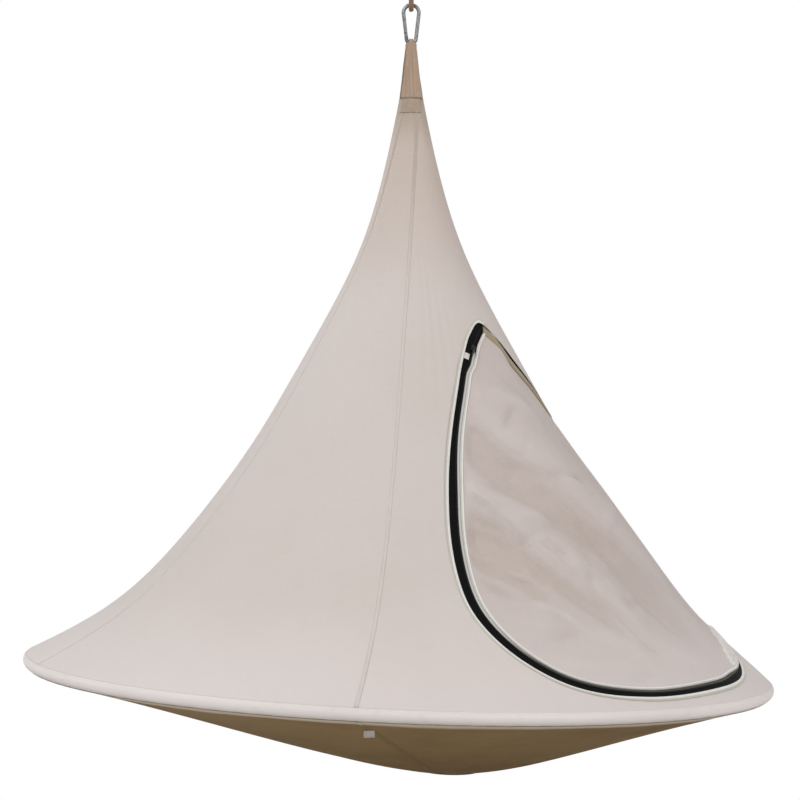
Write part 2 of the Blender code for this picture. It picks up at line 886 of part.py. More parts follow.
def snap_hook():
    slant, _, bow, corner = hook_lines()
    pin = left_leg(gate_hinge_at)
    points = [left_leg(gate_nose_at - nose_tongue_length)]
    points.append(left_leg(gate_nose_at + 0.001))
    steps = 16
    start, end = math.pi + slant, -slant
    for k in range(steps + 1):
        turn = start + (end - start) * k / steps
        points.append(bow + Vector((math.cos(turn), 0, math.sin(turn))) * bow_radius)
    for side, start, end in ((-1, -slant, -math.pi / 2), (1, -math.pi / 2, slant - math.pi)):
        for k in range(7):
            turn = start + (end - start) * k / 6
            reach = Vector((math.cos(turn), 0, math.sin(turn))) * hook_foot_radius
            points.append(Vector((side * corner.x, 0, corner.z)) + reach)
    points.append(left_leg(gate_hinge_at + tongue_length / 2))
    body = as_mesh(tube("snap_hook_body", points, rod_r, steel, resolution=2))
    wide = 4 * rod_r
    for side in (-1, 1):
        shift = side * (tongue_thickness / 2 + wide / 2)
        low_end = gate_hinge_at - tongue_length / 2
        cheek = block(
            f"hinge_cheek_{'back' if side > 0 else 'front'}",
            (wide, wide, 0.03),
            leg_frame(low_end + 0.015) @ Matrix.Translation((0, shift, 0)),
            steel,
            cutter_group,
        )
        shift = side * (nose_tongue_thickness / 2 + wide / 2)
        nose = block(
            f"nose_cheek_{'back' if side > 0 else 'front'}",
            (wide, wide, 0.02),
            leg_frame(gate_nose_at + gap - 0.01) @ Matrix.Translation((0, shift, 0)),
            steel,
            cutter_group,
        )
        combine(body, nose, "DIFFERENCE")
        combine(body, cheek, "DIFFERENCE")
    reach = Vector((0, 2 * rod_r, 0))
    body_drill = rod(
        "body_pin_drill", gate_pin_radius + gap, pin - reach, pin + reach, steel, cutter_group, 16
    )
    combine(body, body_drill, "DIFFERENCE")
    smooth(body)

    gate = rod("snap_hook_gate", gate_radius, pin, left_leg(gate_nose_at), steel, steps=20)
    knuckle = Vector((0, gate_radius, 0))
    heel = rod(
        "gate_heel", gate_radius, pin - knuckle, pin + knuckle, steel, cutter_group, steps=20
    )
    combine(gate, heel, "UNION")
    fork_top = math.hypot(tongue_length / 2, rod_r) + gap
    fork = block(
        "gate_fork_slot",
        (wide, tongue_thickness + 2 * gap, 2 * fork_top),
        leg_frame(gate_hinge_at),
        steel,
        cutter_group,
    )
    latch_depth = nose_tongue_length + 2 * gap
    latch = block(
        "gate_latch_slot",
        (wide, nose_tongue_thickness + 2 * gap, latch_depth + 0.004),
        leg_frame(gate_nose_at - latch_depth / 2 + 0.002),
        steel,
        cutter_group,
    )
    bore_start = gate_hinge_at + fork_top - 0.0005
    bore = rod(
        "gate_spring_bore",
        spring_bore_radius,
        left_leg(bore_start),
        left_leg(bore_start + spring_bore_length),
        steel,
        cutter_group,
        16,
    )
    gate_drill = rod(
        "gate_pin_drill", gate_pin_radius + gap, pin - reach, pin + reach, steel, cutter_group, 16
    )
    for tool in (fork, latch, bore, gate_drill):
        combine(gate, tool, "DIFFERENCE")
    smooth(gate)

    shank = gate_radius + gap
    outline = [
        (0, shank + gate_pin_head_height),
        (gate_pin_head_radius * 0.7, shank + gate_pin_head_height),
        (gate_pin_head_radius, shank),
        (gate_pin_radius, shank),
        (gate_pin_radius, -shank),
        (gate_pin_head_radius, -shank),
        (gate_pin_head_radius * 0.7, -shank - gate_pin_head_height),
        (0, -shank - gate_pin_head_height),
    ]
    rivet = turned("gate_pin", outline, steel, steps=16)
    rivet.data.transform(Matrix.Rotation(math.pi / 2, 4, "X"))
    rivet.location = pin

    spring_from = bore_start + 0.0009
    spring_to = bore_start + spring_bore_length - 0.001
    count = spring_turns * 9
    coil = []
    frame = leg_frame(0)
    for k in range(count + 1):
        turn = 2 * math.pi * spring_turns * k / count
        at = spring_from + (spring_to - spring_from) * k / count
        local = Vector((spring_radius * math.cos(turn), spring_radius * math.sin(turn), at))
        coil.append(frame @ local)
    tube("gate_spring", coil, spring_wire_radius, steel, resolution=1)


# Top strap and neck patches


def strap_row(drop, side, columns):
    """A row of points across one ply below the hook, on its inner face."""
    widest = float(shell_radius(drop)) * 0.93
    lower = np.clip((drop - strap_crown_start) / (shell_top - strap_crown_start), 0, 1)
    clear = rod_r + gap
    neck_depth = float(shell_radius(shell_top)) * neck_flatness
    depth = clear + (neck_depth - clear) * lower
    crown = 0.72 * lower
    half = min(strap_top_half_width + strap_flare * drop, widest)
    if drop < strap_shoulder:
        half = strap_fold_half_width
    spread = np.linspace(-1, 1, columns)
    x = half * spread
    y = side * depth * np.sqrt(1 - crown * spread**2)
    return np.stack([x, y, np.full(columns, tent_top_z - drop)], axis=-1)


def strap_fold(columns, steps):
    """Rows of points over the flat of the hook's foot."""
    spread = np.linspace(-1, 1, columns)
    rows = []
    for k in range(steps + 1):
        turn = math.pi * k / steps
        x = strap_fold_half_width * spread
        past = np.clip(np.abs(x) - hook_foot_flat / 2, 0, None)
        rise = hook_foot_radius - np.sqrt(hook_foot_radius**2 - past**2)
        y = -(rod_r + 1.5 * gap) * math.cos(turn) * np.ones(columns)
        z = foot_z + 2 * rise + (rod_r + 1.5 * gap) * math.sin(turn)
        rows.append(np.stack([x, y, z], axis=-1))
    return rows


def top_strap():
    columns = 7
    below = [0.80, 0.59, 0.38, 0.20]
    drops = [shell_top - gap] + [shell_top * share for share in below]
    drops += [strap_shoulder + 0.0025, strap_shoulder - 0.0001]
    front = [strap_row(d, -1, columns) for d in drops]
    back = [strap_row(d, 1, columns) for d in drops]
    rows = front + strap_fold(columns, 8) + back[::-1]
    grid = np.array(rows)
    obj = mesh_object(
        "top_strap",
        grid.reshape(-1, 3),
        grid_faces(len(grid), columns, False, False),
        strap_web,
    )
    solid = obj.modifiers.new("wall", "SOLIDIFY")
    solid.thickness = strap_thickness
    solid.offset = 1.0
    middle = grid[2, columns // 2 + 1] - grid[2, columns // 2]
    along = grid[3, columns // 2] - grid[2, columns // 2]
    if float(np.dot(np.cross(middle, along), (0, -1, 0))) < 0:
        solid.offset = -1.0
    smooth(obj)


# Shell gores


gore_names = ["door_gore", "right_rear_gore", "rear_gore", "left_rear_gore", "front_gore"]


def gore_name(k):
    return gore_names[k]


def face_outwards(bm, downwards=False):
    """Turn an open sheet's faces away from the tent's upright axis, or downwards."""
    bmesh.ops.recalc_face_normals(bm, faces=bm.faces)
    bm.normal_update()
    total = 0.0
    for face in bm.faces:
        middle = face.calc_center_median()
        away = Vector((0, 0, -1)) if downwards else Vector((middle.x, middle.y, 0))
        total += face.normal.dot(away) * face.calc_area()
    if total < 0:
        bmesh.ops.reverse_faces(bm, faces=bm.faces)


def gore_azimuths(k, drops):
    """The columns of a gore at each row, with half a seam gap left at both sides."""
    steps = gore_steps[k]
    first = sum(gore_steps[:k])
    base = np.array(
        [stations[(first + i) % station_count] for i in range(steps)]
        + [stations[(first + steps) % station_count]]
    )
    base = np.where(base < base[0] - 1, base + 360, base)
    rows = []
    for drop in drops:
        ease = neck_ease * math.exp(-(drop - shell_top) / neck_ease_fade)
        trim = math.degrees((gap / 2 + ease) / float(shell_radius(drop)))
        row = base + float(twist(drop))
        row[0] += trim
        row[-1] -= trim
        rows.append(row)
    return np.array(rows)


def plain_gore(k):
    drops = gore_drops()
    azimuths = gore_azimuths(k, drops)
    grid = shell_point(azimuths, drops[:, None], 0.0)
    outside = shell_point(azimuths[0, 0], drops[0], 1.0) - grid[0, 0]
    sheet(gore_name(k), grid, canvas, cloth, outside)


def door_gore():
    """The wide gore round the doorway: rows above it, and rings that spread from its edge."""
    drops = gore_drops()
    azimuths = gore_azimuths(0, drops)
    upper = drops[:top_rows]
    top_grid = shell_point(azimuths[:top_rows], upper[:, None], 0.0)
    last = top_rows - 1
    columns = gore_steps[0]
    border = []
    for j in range(half_top, 0, -1):
        border.append((azimuths[last, j], drops[last]))
    for i in range(side_rows):
        border.append((azimuths[last + i, 0], drops[last + i]))
    for j in range(columns):
        border.append((azimuths[-1, j], drops[-1]))
    for i in range(side_rows, 0, -1):
        border.append((azimuths[last + i, -1], drops[last + i]))
    for j in range(columns, half_top, -1):
        border.append((azimuths[last, j], drops[last]))
    border = np.array(border)
    hemmed = np.stack(edge_place(edge_shares, -binding_width - webbing), axis=-1)
    rings = [edge_point(edge_shares, 0.0)]
    for share in (0.0, 0.30, 0.64, 1.0):
        ring = hemmed * (1 - share) + border * share
        rings.append(shell_point(ring[:, 0], ring[:, 1], 0.0))
    rings = np.array(rings)
    points = np.concatenate([top_grid.reshape(-1, 3), rings.reshape(-1, 3)])
    rows, wide = top_grid.shape[:2]
    faces = grid_faces(rows, wide, False, False)
    ring_faces = grid_faces(len(rings), edge_count, True, False)
    faces += [tuple(rows * wide + v for v in face) for face in ring_faces]
    bm = bmesh.new()
    spots = [bm.verts.new(tuple(p)) for p in points]
    for face in faces:
        bm.faces.new([spots[v] for v in face])
    bmesh.ops.remove_doubles(bm, verts=bm.verts, dist=0.000005)
    face_outwards(bm)
    smooth(thicken(finish_bmesh(gore_name(0), bm, canvas), cloth))


def facet_point(station, drop, lift):
    """A point on the gores' flat facets, off their outer face by a distance."""
    rows = gore_drops()
    i = min(max(int(np.searchsorted(rows, drop)) - 1, 0), len(rows) - 2)
    down = (drop - rows[i]) / (rows[i + 1] - rows[i])
    low = math.floor(station)
    across = station - low
    point = np.zeros(3)
    for row, down_share in ((rows[i], 1 - down), (rows[i + 1], down)):
        for mark, across_share in ((low, 1 - across), (low + 1, across)):
            azimuth = stations[mark % station_count] + float(twist(row))
            point = point + shell_point(azimuth, row, lift) * down_share * across_share
    return point


def station_step(station, drop):
    """The distance between a station and the next one, along the shell."""
    here, ahead = facet_point(station, drop, 0.0), facet_point(station + 1, drop, 0.0)
    return float(np.linalg.norm(ahead - here))


def neck_patches():
    """Two patches at the neck, over the strap's ends, following the gores' facets."""
    front = -float(twist(shell_top))
    for name, middle in (("neck_patch_front", front), ("neck_patch_back", front + 180)):
        ends = middle + np.array([-patch_half_angle, patch_half_angle])
        lift = 2 * gap + webbing
        low, high = np.interp(ends, full_turn_azimuths, full_turn_stations)
        marks = [low] + list(range(math.floor(low) + 1, math.ceil(high))) + [high]
        grid = []
        for drop in (shell_top + gap, shell_top + patch_height):
            grid.append([facet_point(mark, drop, lift) for mark in marks])
        outside = facet_point(marks[0], shell_top + gap, 1.0) - grid[0][0]
        sheet(name, grid, strap_web, webbing, outside)


def seam_webbing():
    """The webbings sewn inside the shell's seams, from below the neck to the hoop."""
    drops = [seam_web_top]
    drops += [d for d in gore_drops() if seam_web_top < d < landing_drop - seam_web_end]
    drops.append(landing_drop - seam_web_end)
    names = ["front_seam", "right_seam", "right_rear_seam", "left_rear_seam", "left_seam"]
    for k, name in enumerate(names):
        seam = sum(gore_steps[:k])
        rows = []
        for drop in drops:
            before = seam - seam_web_width / 2 / station_step(seam - 1, drop)
            after = seam + seam_web_width / 2 / station_step(seam, drop)
            lifts = [-cloth - gap] * 3
            if k == 0:
                lifts[2] -= door_seam_ease
            if k == 1:
                lifts[0] -= door_seam_ease
            marks = (before, seam, after)
            rows.append([facet_point(mark, drop, lift) for mark, lift in zip(marks, lifts)])
        outside = facet_point(seam, drops[0], 1.0) - facet_point(seam, drops[0], 0.0)
        sheet(f"{name}_webbing", rows, strap_web, webbing, outside)


# Hoop, spigots and sleeve


def hoop_parts():
    """Five curved tubes, each joint held by a spigot that is half in both tubes."""
    angles = [landing_angle - tube_step * k for k in range(tube_sides)]
    per_section = station_count // hoop_section_count
    trim = gap / 2 / (2 * math.pi * hoop_radius / station_count)
    spigot_radius = hoop_tube_radius - hoop_tube_wall - gap
    for k in range(hoop_section_count):
        start = first_joint_station + k * per_section
        end = start + per_section
        grid = ring_grid(start + trim, end - trim, hoop_tube_radius, angles)
        outside = grid[0, 0] - rim_point(start + trim, 0, 0)
        sheet(f"hoop_section_{k + 1}", grid, aluminium, hoop_tube_wall, outside, True)
        grid = ring_grid(start - spigot_reach, start + spigot_reach, spigot_radius, angles)
        outside = grid[0, 0] - rim_point(start - spigot_reach, 0, 0)
        sheet(f"hoop_spigot_{k + 1}", grid, aluminium, hoop_tube_wall, outside, True)


def rim_sleeve():
    """The cloth channel round the hoop, open on the inner side where the tubes slide in."""
    angles = [landing_angle - tube_step * k for k in range(tube_sides - sleeve_open_sides + 1)]
    angles[0] -= math.degrees((gap + rim_ease) / sleeve_radius)
    rows = []
    for station in range(station_count):
        row = []
        for angle in angles:
            out = sleeve_radius * math.cos(math.radians(angle))
            up = sleeve_radius * math.sin(math.radians(angle))
            row.append(rim_point(station, out, up))
        rows.append(row)
    grid = np.array(rows).transpose(1, 0, 2)
    outside = grid[2, 0] - rim_point(0, 0, 0)
    sheet("rim_sleeve", grid, canvas, cloth, outside, closed=True)


# Floor


def floor_point(azimuth, share, lower=0.0):
    """The floor's underside: share 1 at the rim, 0 at the low tip, with a rounded tip."""
    start = sleeve_radius + gap + cloth
    turn = np.radians(azimuth)
    out = start * math.cos(math.radians(floor_landing_angle))
    up = start * math.sin(math.radians(floor_landing_angle))
    radius = hoop_radius + out
    rim_x = hoop_shift + radius * np.sin(turn)
    rim_y = -radius * np.cos(turn)
    rim_z = hoop_z + up - lean(radius, azimuth)
    tip_z = hoop_z - tip_drop
    rounded = np.sqrt(share**2 + tip_roundness**2) - tip_roundness
    fall = rounded / (math.sqrt(1 + tip_roundness**2) - tip_roundness)
    fall = fall + floor_tuck * share * (1 - share)
    x = tip_offset * (1 - share) + rim_x * share
    y = rim_y * share
    z = tip_z + (rim_z - tip_z) * fall - lower
    return np.stack(np.broadcast_arrays(x, y, z), axis=-1)


def floor_parts():
    names = ["door_floor", "right_rear_floor", "rear_floor", "left_rear_floor", "front_floor"]
    for k, name in enumerate(names):
        steps = gore_steps[k]
        first = sum(gore_steps[:k])
        base = np.array([stations[(first + i) % station_count] for i in range(steps + 1)])
        base = np.where(base < base[0] - 1, base + 360, base)
        rows = []
        for share in floor_rings:
            row = base.copy()
            trim = math.degrees(gap / 2 / (hoop_radius * share))
            row[0] += trim
            row[-1] -= trim
            rows.append(floor_point(row, share))
        sheet(name, np.array(rows), floor_cloth, cloth, (0, 0, -1))
    columns = 20
    azimuths = np.arange(columns) * 360 / columns
    rows = []
    for share in (tip_patch_reach, 0.045, 0.02):
        rows.append(floor_point(azimuths, share, 2 * gap + webbing))
    grid = np.array(rows)
    points = np.concatenate([grid.reshape(-1, 3), [floor_point(0.0, 0.0, 2 * gap + webbing)]])
    faces = grid_faces(len(rows), columns, True, False)
    pole = len(points) - 1
    last = (len(rows) - 1) * columns
    for j in range(columns):
        faces.append((last + j, last + (j + 1) % columns, pole))
    bm = bmesh.new()
    spots = [bm.verts.new(tuple(p)) for p in points]
    for face in faces:
        bm.faces.new([spots[v] for v in face])
    face_outwards(bm, downwards=True)
    smooth(thicken(finish_bmesh("floor_tip_patch", bm, strap_web), webbing))


def rim_tab():
    """The small folded tab sewn under the floor's edge, next to the front seam."""
    share = 1 - tab_inset / hoop_radius
    root = floor_point(tab_azimuth, share)
    turn = math.radians(tab_azimuth)
    inward = Vector((-math.sin(turn), math.cos(turn), 0))
    side = Vector((math.cos(turn), math.sin(turn), 0))
    frame = Matrix((side, inward, Vector((0, 0, 1)))).transposed().to_4x4()
    drop = tab_height / 2 + gap + 0.0009
    middle = Vector(root) - Vector((0, 0, drop))
    size = (tab_width, tab_thickness, tab_height)
    block("rim_tab", size, Matrix.Translation(middle) @ frame, white_binding, bevel=0.0006)


# Doorway trim, zip and door


def door_inset(share):
    """How far in from the doorway's edge the door cloth starts, round the doorway."""
    zipped = gap + tape_width + zip_gap + door_tape_width + gap
    step = float(np.max(np.diff(edge_shares)))
    marks = [0.0, zip_end + step, hinge_start, slit_start, hem_start - step, slit_end, hem_end, 1.0]
    insets = [zipped, zipped, gap, gap, slit_width, slit_width, gap, zipped]
    return np.interp(np.asarray(share, float) % 1.0, marks, insets)


def door_lift(reach):
    """How far the slack door cloth stands off the shell's curve: nothing at its edge."""
    return door_bulge * (1 - reach**2) ** 1.5


def door_sheet():
    inset = door_inset(edge_shares)
    marks = [0.0, slider_at, hem_start - hem_blend, hem_start - 0.4 * hem_blend]
    marks += [2 * slit_end - apex_cut, apex_cut, 1.0]
    narrow, wide = door_binding_width + webbing, hem_width + webbing
    strips = [apex_strip, narrow, narrow, wide, wide, apex_strip, apex_strip]
    strip = np.interp(edge_shares, marks, strips)
    rim = np.stack(edge_place(edge_shares, inset), axis=-1)
    edge = np.stack(edge_place(edge_shares, inset + strip), axis=-1)
    last = int(np.nonzero(edge_shares <= apex_cut)[0][-1])
    across = (np.arange(last + 1, edge_count) - last)[:, None] / (edge_count - last)
    for ring in (rim, edge):
        ring[last + 1 :] = ring[last] * (1 - across) + ring[0] * across
    height = landing_drop - doorway_sill - doorway_top
    middle = np.array([door_azimuth, doorway_top + door_middle * height])
    rows = [shell_point(rim[:, 0], rim[:, 1])]
    for reach in door_rings:
        ring = middle + (edge - middle) * reach
        rows.append(shell_point(ring[:, 0], ring[:, 1], door_lift(reach)))
    pole_point = shell_point(middle[0], middle[1], door_lift(0.0))
    points = np.concatenate([np.array(rows).reshape(-1, 3), [pole_point]])
    faces = grid_faces(len(rows), edge_count, True, False)
    last = (len(rows) - 1) * edge_count
    for j in range(edge_count):
        faces.append((last + j, last + (j + 1) % edge_count, len(points) - 1))
    bm = bmesh.new()
    spots = [bm.verts.new(tuple(p)) for p in points]
    for face in faces:
        bm.faces.new([spots[v] for v in face])
    face_outwards(bm)
    smooth(thicken(finish_bmesh("door_sheet", bm, door_cloth), cloth))


def doorway_trim():
    raised = 2 * gap + binding_thickness
    edge_band(
        "doorway_binding",
        -0.02,
        binding_end,
        (-binding_width, -gap),
        (raised, raised),
        binding_thickness,
        white_binding,
    )
    tape_face = (-gap, -gap)
    edge_band(
        "zip_tape_shell",
        zip_start,
        zip_end,
        (gap, gap + tape_width),
        tape_face,
        tape_thickness,
        zip_black,
    )
    inner = gap + tape_width + gap
    edge_band(
        "zip_tape_closed",
        zip_start,
        slider_at - 0.55 * slider_length / edge_length,
        (inner, inner + closed_tape_width),
        tape_face,
        tape_thickness,
        zip_black,
    )
    door_side = gap + tape_width + zip_gap
    open_start = slider_at + 0.60 * slider_length / edge_length
    edge_band(
        "zip_tape_door",
        open_start,
        zip_end,
        (door_side, door_side + door_tape_width),
        tape_face,
        tape_thickness,
        zip_black,
    )
    on_door = door_side + door_tape_width + gap
    edge_band(
        "door_binding",
        zip_start,
        zip_end - 0.008,
        (on_door, on_door + door_binding_width),
        (raised + gap, raised + 2 * gap),
        binding_thickness,
        white_binding,
    )
    edge_band(
        "door_hem",
        hem_start + 0.004,
        slit_end + 0.014,
        (slit_width, slit_width + hem_width),
        (raised + hem_ease, raised + hem_ease + 3 * gap),
        binding_thickness,
        hem_tan,
    )
    half = 0.5 * stop_length / edge_length
    for name, share in (("zip_top_stop", zip_start - 1.4 * half), ("zip_end_stop", zip_end + 1.4 * half)):
        edge_band(
            name,
            share - half,
            share + half,
            (gap + tape_width - 0.004, gap + tape_width + 0.004),
            (0.0004, 0.0004),
            0.002,
            zip_metal,
        )


def slider_frame(share):
    """A matrix at a place on the zip: X across into the doorway, Y along it, Z outwards."""
    inset = gap + tape_width + zip_gap / 2
    here = Vector(edge_point(share, inset, 0.0))
    ahead = Vector(edge_point(share + 0.002, inset, 0.0))
    behind = Vector(edge_point(share - 0.002, inset, 0.0))
    outward = Vector(edge_point(share, inset, 1.0)) - here
    along = (ahead - behind).normalized()
    outward = (outward - along * outward.dot(along)).normalized()
    across = along.cross(outward)
    frame = Matrix((across, along, outward)).transposed().to_4x4()
    return Matrix.Translation(here) @ frame


def zip_slider():
    frame = slider_frame(slider_at)
    face = -0.0003
    top_low = face + slider_clearance
    top_high = top_low + slider_plate
    low_high = face - tape_thickness - slider_clearance
    low_low = low_high - slider_plate
    size = (slider_width, slider_length, slider_plate)
    body = block(
        "zip_slider",
        size,
        frame @ Matrix.Translation((0, 0, (top_low + top_high) / 2)),
        zip_metal,
        bevel=0.0005,
    )
    under = block(
        "slider_under_plate",
        size,
        frame @ Matrix.Translation((0, 0, (low_low + low_high) / 2)),
        zip_metal,
        bevel=0.0005,
    )
    post_y = slider_length / 2 - slider_post_length / 2 - 0.0008
    post = block(
        "slider_post",
        (slider_post_width, slider_post_length, top_high - low_low - 0.001),
        frame @ Matrix.Translation((0, post_y, (top_high + low_low) / 2)),
        zip_metal,
    )
    lug_high = top_high + 0.0034
    lug = block(
        "slider_lug",
        (0.0018, 0.005, lug_high - top_high + 0.001),
        frame @ Matrix.Translation((0, -0.002, (top_high + lug_high) / 2 - 0.0005)),
        zip_metal,
        bevel=0.0004,
    )
    hole_z = top_high + 0.0018
    pin_at = frame @ Vector((0, -0.002, hole_z))
    across = (frame.to_3x3() @ Vector((1, 0, 0))).normalized()
    drill = rod(
        "slider_lug_drill",
        puller_pin_radius + gap,
        pin_at - across * 0.004,
        pin_at + across * 0.004,
        zip_metal,
        cutter_group,
        12,
    )
    combine(body, under, "UNION")
    combine(body, post, "UNION")
    combine(body, lug, "UNION")
    combine(body, drill, "DIFFERENCE")

    outward = (frame.to_3x3() @ Vector((0, 0, 1))).normalized()
    along = (frame.to_3x3() @ Vector((0, 1, 0))).normalized()
    pin_half = 0.0009 + gap + 0.0016
    puller = as_mesh(
        tube(
            "zip_puller",
            [pin_at - across * pin_half, pin_at + across * pin_half],
            puller_pin_radius,
            zip_metal,
            resolution=2,
        )
    )
    tilt = Matrix.Rotation(math.radians(puller_rest_tilt), 4, across)
    hang = (tilt.to_3x3() @ along).normalized()
    normal = (tilt.to_3x3() @ outward).normalized()
    pull_frame = Matrix((across, hang, normal)).transposed().to_4x4()
    for name, side in (("puller_cheek_left", -1), ("puller_cheek_right", 1)):
        cheek = block(
            name,
            (0.0014, 0.008, puller_cheek_thickness),
            Matrix.Translation(
                pin_at + across * side * (0.0009 + gap + 0.0009) + hang * 0.0030
            )
            @ pull_frame,
            zip_metal,
        )
        combine(puller, cheek, "UNION")
    blade = block(
        "puller_blade",
        (puller_width, puller_length - 0.006, puller_thickness),
        Matrix.Translation(pin_at + hang * (0.006 + (puller_length - 0.006) / 2)) @ pull_frame,
        zip_metal,
    )
    combine(puller, blade, "UNION")
    eye_at = pin_at + hang * (puller_length - 0.0022)
    eye_drill = rod(
        "puller_eye_drill",
        pull_ring_wire + 0.0006,
        eye_at - normal * 0.003,
        eye_at + normal * 0.003,
        zip_metal,
        cutter_group,
        12,
    )
    combine(puller, eye_drill, "DIFFERENCE")
    points = []
    ring_middle = eye_at + hang * pull_ring_radius
    for k in range(16):
        turn = 2 * math.pi * (k + 0.5) / 16
        points.append(
            ring_middle
            - hang * pull_ring_radius * math.cos(turn)
            + normal * pull_ring_radius * math.sin(turn)
        )
    tube("pull_ring", points, pull_ring_wire, zip_metal, cyclic=True, resolution=1)
    return pin_at


# Joint axes


def door_hinge_middle():
    """The middle of the straight line beside the doorway that the door turns about."""
    top = shell_point(door_hinge_azimuth, door_hinge_top, door_hinge_lift)
    low = shell_point(door_hinge_azimuth, door_hinge_low, door_hinge_lift)
    return Vector((top + low) / 2)


def zip_arc_centre():
    """The middle of the circle through three places of the slider's short run."""
    inset = gap + tape_width + zip_gap / 2
    lift = -gap - tape_thickness / 2
    shares = [slider_at + slider_travel * k / 2 / edge_length for k in range(3)]
    first, middle, last = [Vector(edge_point(share, inset, lift)) for share in shares]
    to_middle, to_last = middle - first, last - first
    normal = to_middle.cross(to_last)
    reach = to_last.cross(normal) * to_middle.length_squared
    reach += normal.cross(to_middle) * to_last.length_squared
    return first + reach / (2 * normal.length_squared)


def put_on_axis(names, point):
    """Give the pieces of one moving body their origin on its joint's axis."""
    for name in names:
        set_axis(bpy.data.objects[name], point)


# Assembly

eye_centre_z = ceiling_swivel()
rope_strop(eye_centre_z)
snap_hook()
top_strap()
neck_patches()
door_gore()
for gore in range(1, len(seam_azimuths)):
    plain_gore(gore)
seam_webbing()
hoop_parts()
rim_sleeve()
floor_parts()
rim_tab()
doorway_trim()
door_sheet()
puller_axis = zip_slider()

fixed_names = ["ceiling_plate", "swivel_housing", "swivel_washer", "swivel_eye"]
strop_names = ["rope_strop", "rope_knot"]
hook_names = ["snap_hook_body", "gate_pin"]
gate_names = ["snap_hook_gate", "gate_spring"]
door_names = ["door_sheet", "door_binding", "zip_tape_door", "door_hem"]
puller_names = ["zip_puller", "pull_ring"]
placed = fixed_names + strop_names + hook_names + gate_names + door_names + puller_names
placed.append("zip_slider")
tent_names = [obj.name for obj in tent_group.objects if obj.name not in placed]
put_on_axis(strop_names, (0, 0, eye_centre_z - eye_ring_radius))
put_on_axis(hook_names, (0, 0, bow_centre_z))
put_on_axis(gate_names, left_leg(gate_hinge_at))
put_on_axis(tent_names, (0, 0, foot_z))
put_on_axis(door_names, door_hinge_middle())
put_on_axis(["zip_slider"], zip_arc_centre())
put_on_axis(puller_names, puller_axis)
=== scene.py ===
# %% [markdown]
# # A hanging tent
# A canvas shell hangs from one snap hook and is spread by a hoop at its foot. A shallow
# cone of cloth under the hoop is its floor, and a zipped door closes the side. The frame
# with its joints is ready; here every cloth piece is worked out with numpy on top of it.

import math

import bpy
import numpy as np
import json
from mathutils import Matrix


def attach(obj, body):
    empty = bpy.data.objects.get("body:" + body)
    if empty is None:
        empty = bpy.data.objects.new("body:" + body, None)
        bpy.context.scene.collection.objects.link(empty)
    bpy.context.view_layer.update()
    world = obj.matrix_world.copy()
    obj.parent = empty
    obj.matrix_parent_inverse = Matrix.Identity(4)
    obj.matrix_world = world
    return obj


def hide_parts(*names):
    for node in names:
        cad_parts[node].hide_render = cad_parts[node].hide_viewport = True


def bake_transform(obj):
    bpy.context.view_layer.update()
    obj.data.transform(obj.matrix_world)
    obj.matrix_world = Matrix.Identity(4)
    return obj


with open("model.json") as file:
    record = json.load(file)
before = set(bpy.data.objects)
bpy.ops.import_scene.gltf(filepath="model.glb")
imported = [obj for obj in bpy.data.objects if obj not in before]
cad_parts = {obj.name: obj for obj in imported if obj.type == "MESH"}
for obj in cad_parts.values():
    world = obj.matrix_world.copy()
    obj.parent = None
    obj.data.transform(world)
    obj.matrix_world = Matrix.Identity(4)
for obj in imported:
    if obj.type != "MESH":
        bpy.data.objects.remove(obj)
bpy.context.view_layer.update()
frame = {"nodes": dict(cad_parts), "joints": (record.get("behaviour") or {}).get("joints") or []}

# %% [markdown]
# ## Camera
# The tent was seen level with its middle from about six metres away, with a long lens.
# A camera has no scale of its own, so its lens follows from the picture's width in
# pixels and the distance at which one metre of tent is about 417 pixels wide.

# %% Camera at the viewing angle
picture_pixels = 800
focal_pixels = 2476.5
view_distance = 5.9445
view_height = -1.078
object_axis_pixel = 411.2
sensor_width = 36.0

camera_data = bpy.data.cameras.new("studio_camera")
camera_data.sensor_width = sensor_width
camera_data.lens = sensor_width * focal_pixels / picture_pixels
camera_data.clip_end = 60
camera = bpy.data.objects.new("studio_camera", camera_data)
camera_left = (object_axis_pixel - picture_pixels / 2) * view_distance / focal_pixels
camera.location = (-camera_left, -view_distance, view_height)
camera.rotation_euler = (math.pi / 2, 0, 0)
bpy.context.scene.collection.objects.link(camera)
bpy.context.scene.camera = camera
print(f"lens {camera_data.lens:.1f} mm")

# %% [markdown]
# ## Sizes
# The same named sizes as in the solids: the cloth follows the same curves, only with far
# more points, so that it bends smoothly and can carry seams and creases.

# %% Sizes of the hook, strap and shell
gap = 0.0003
cloth = 0.0015
webbing = 0.0015
rod_radius = 0.0045
hook_drop = 0.130
hook_length = 0.098
hook_foot_flat = 0.0095
hook_foot_radius = 0.0065
strap_thickness = 0.003
strap_fold_half_width = 0.0060
strap_top_half_width = 0.0108
strap_flare = 0.108
strap_crown_start = 0.020
patch_half_angle = 46.0
patch_height = 0.036
hoop_radius = 0.8752
tent_drop = 1.5123
landing_angle = 52.0
hoop_tilt = 2.42
hoop_low_side = 89.0
hoop_shift = -0.0304
lean_power = 7.2
shell_top = 0.1438
neck_flatness = 0.50
neck_round_at = 0.34
top_twist = 38.0
twist_fade = 0.20
hoop_tube_radius = 0.014
hoop_tube_wall = 0.0015
seam_azimuths = [-5.6, 113.0, 172.0, 231.0, 292.5, 354.4]
profile = [
    (0.00, 0.020),
    (0.06, 0.024),
    (0.14, 0.0466),
    (0.24, 0.0862),
    (0.34, 0.1422),
    (0.44, 0.2249),
    (0.54, 0.3199),
    (0.64, 0.4197),
    (0.74, 0.5382),
    (0.82, 0.6441),
    (0.88, 0.7352),
    (0.93, 0.8314),
    (0.97, 0.9256),
    (1.00, 1.000),
]

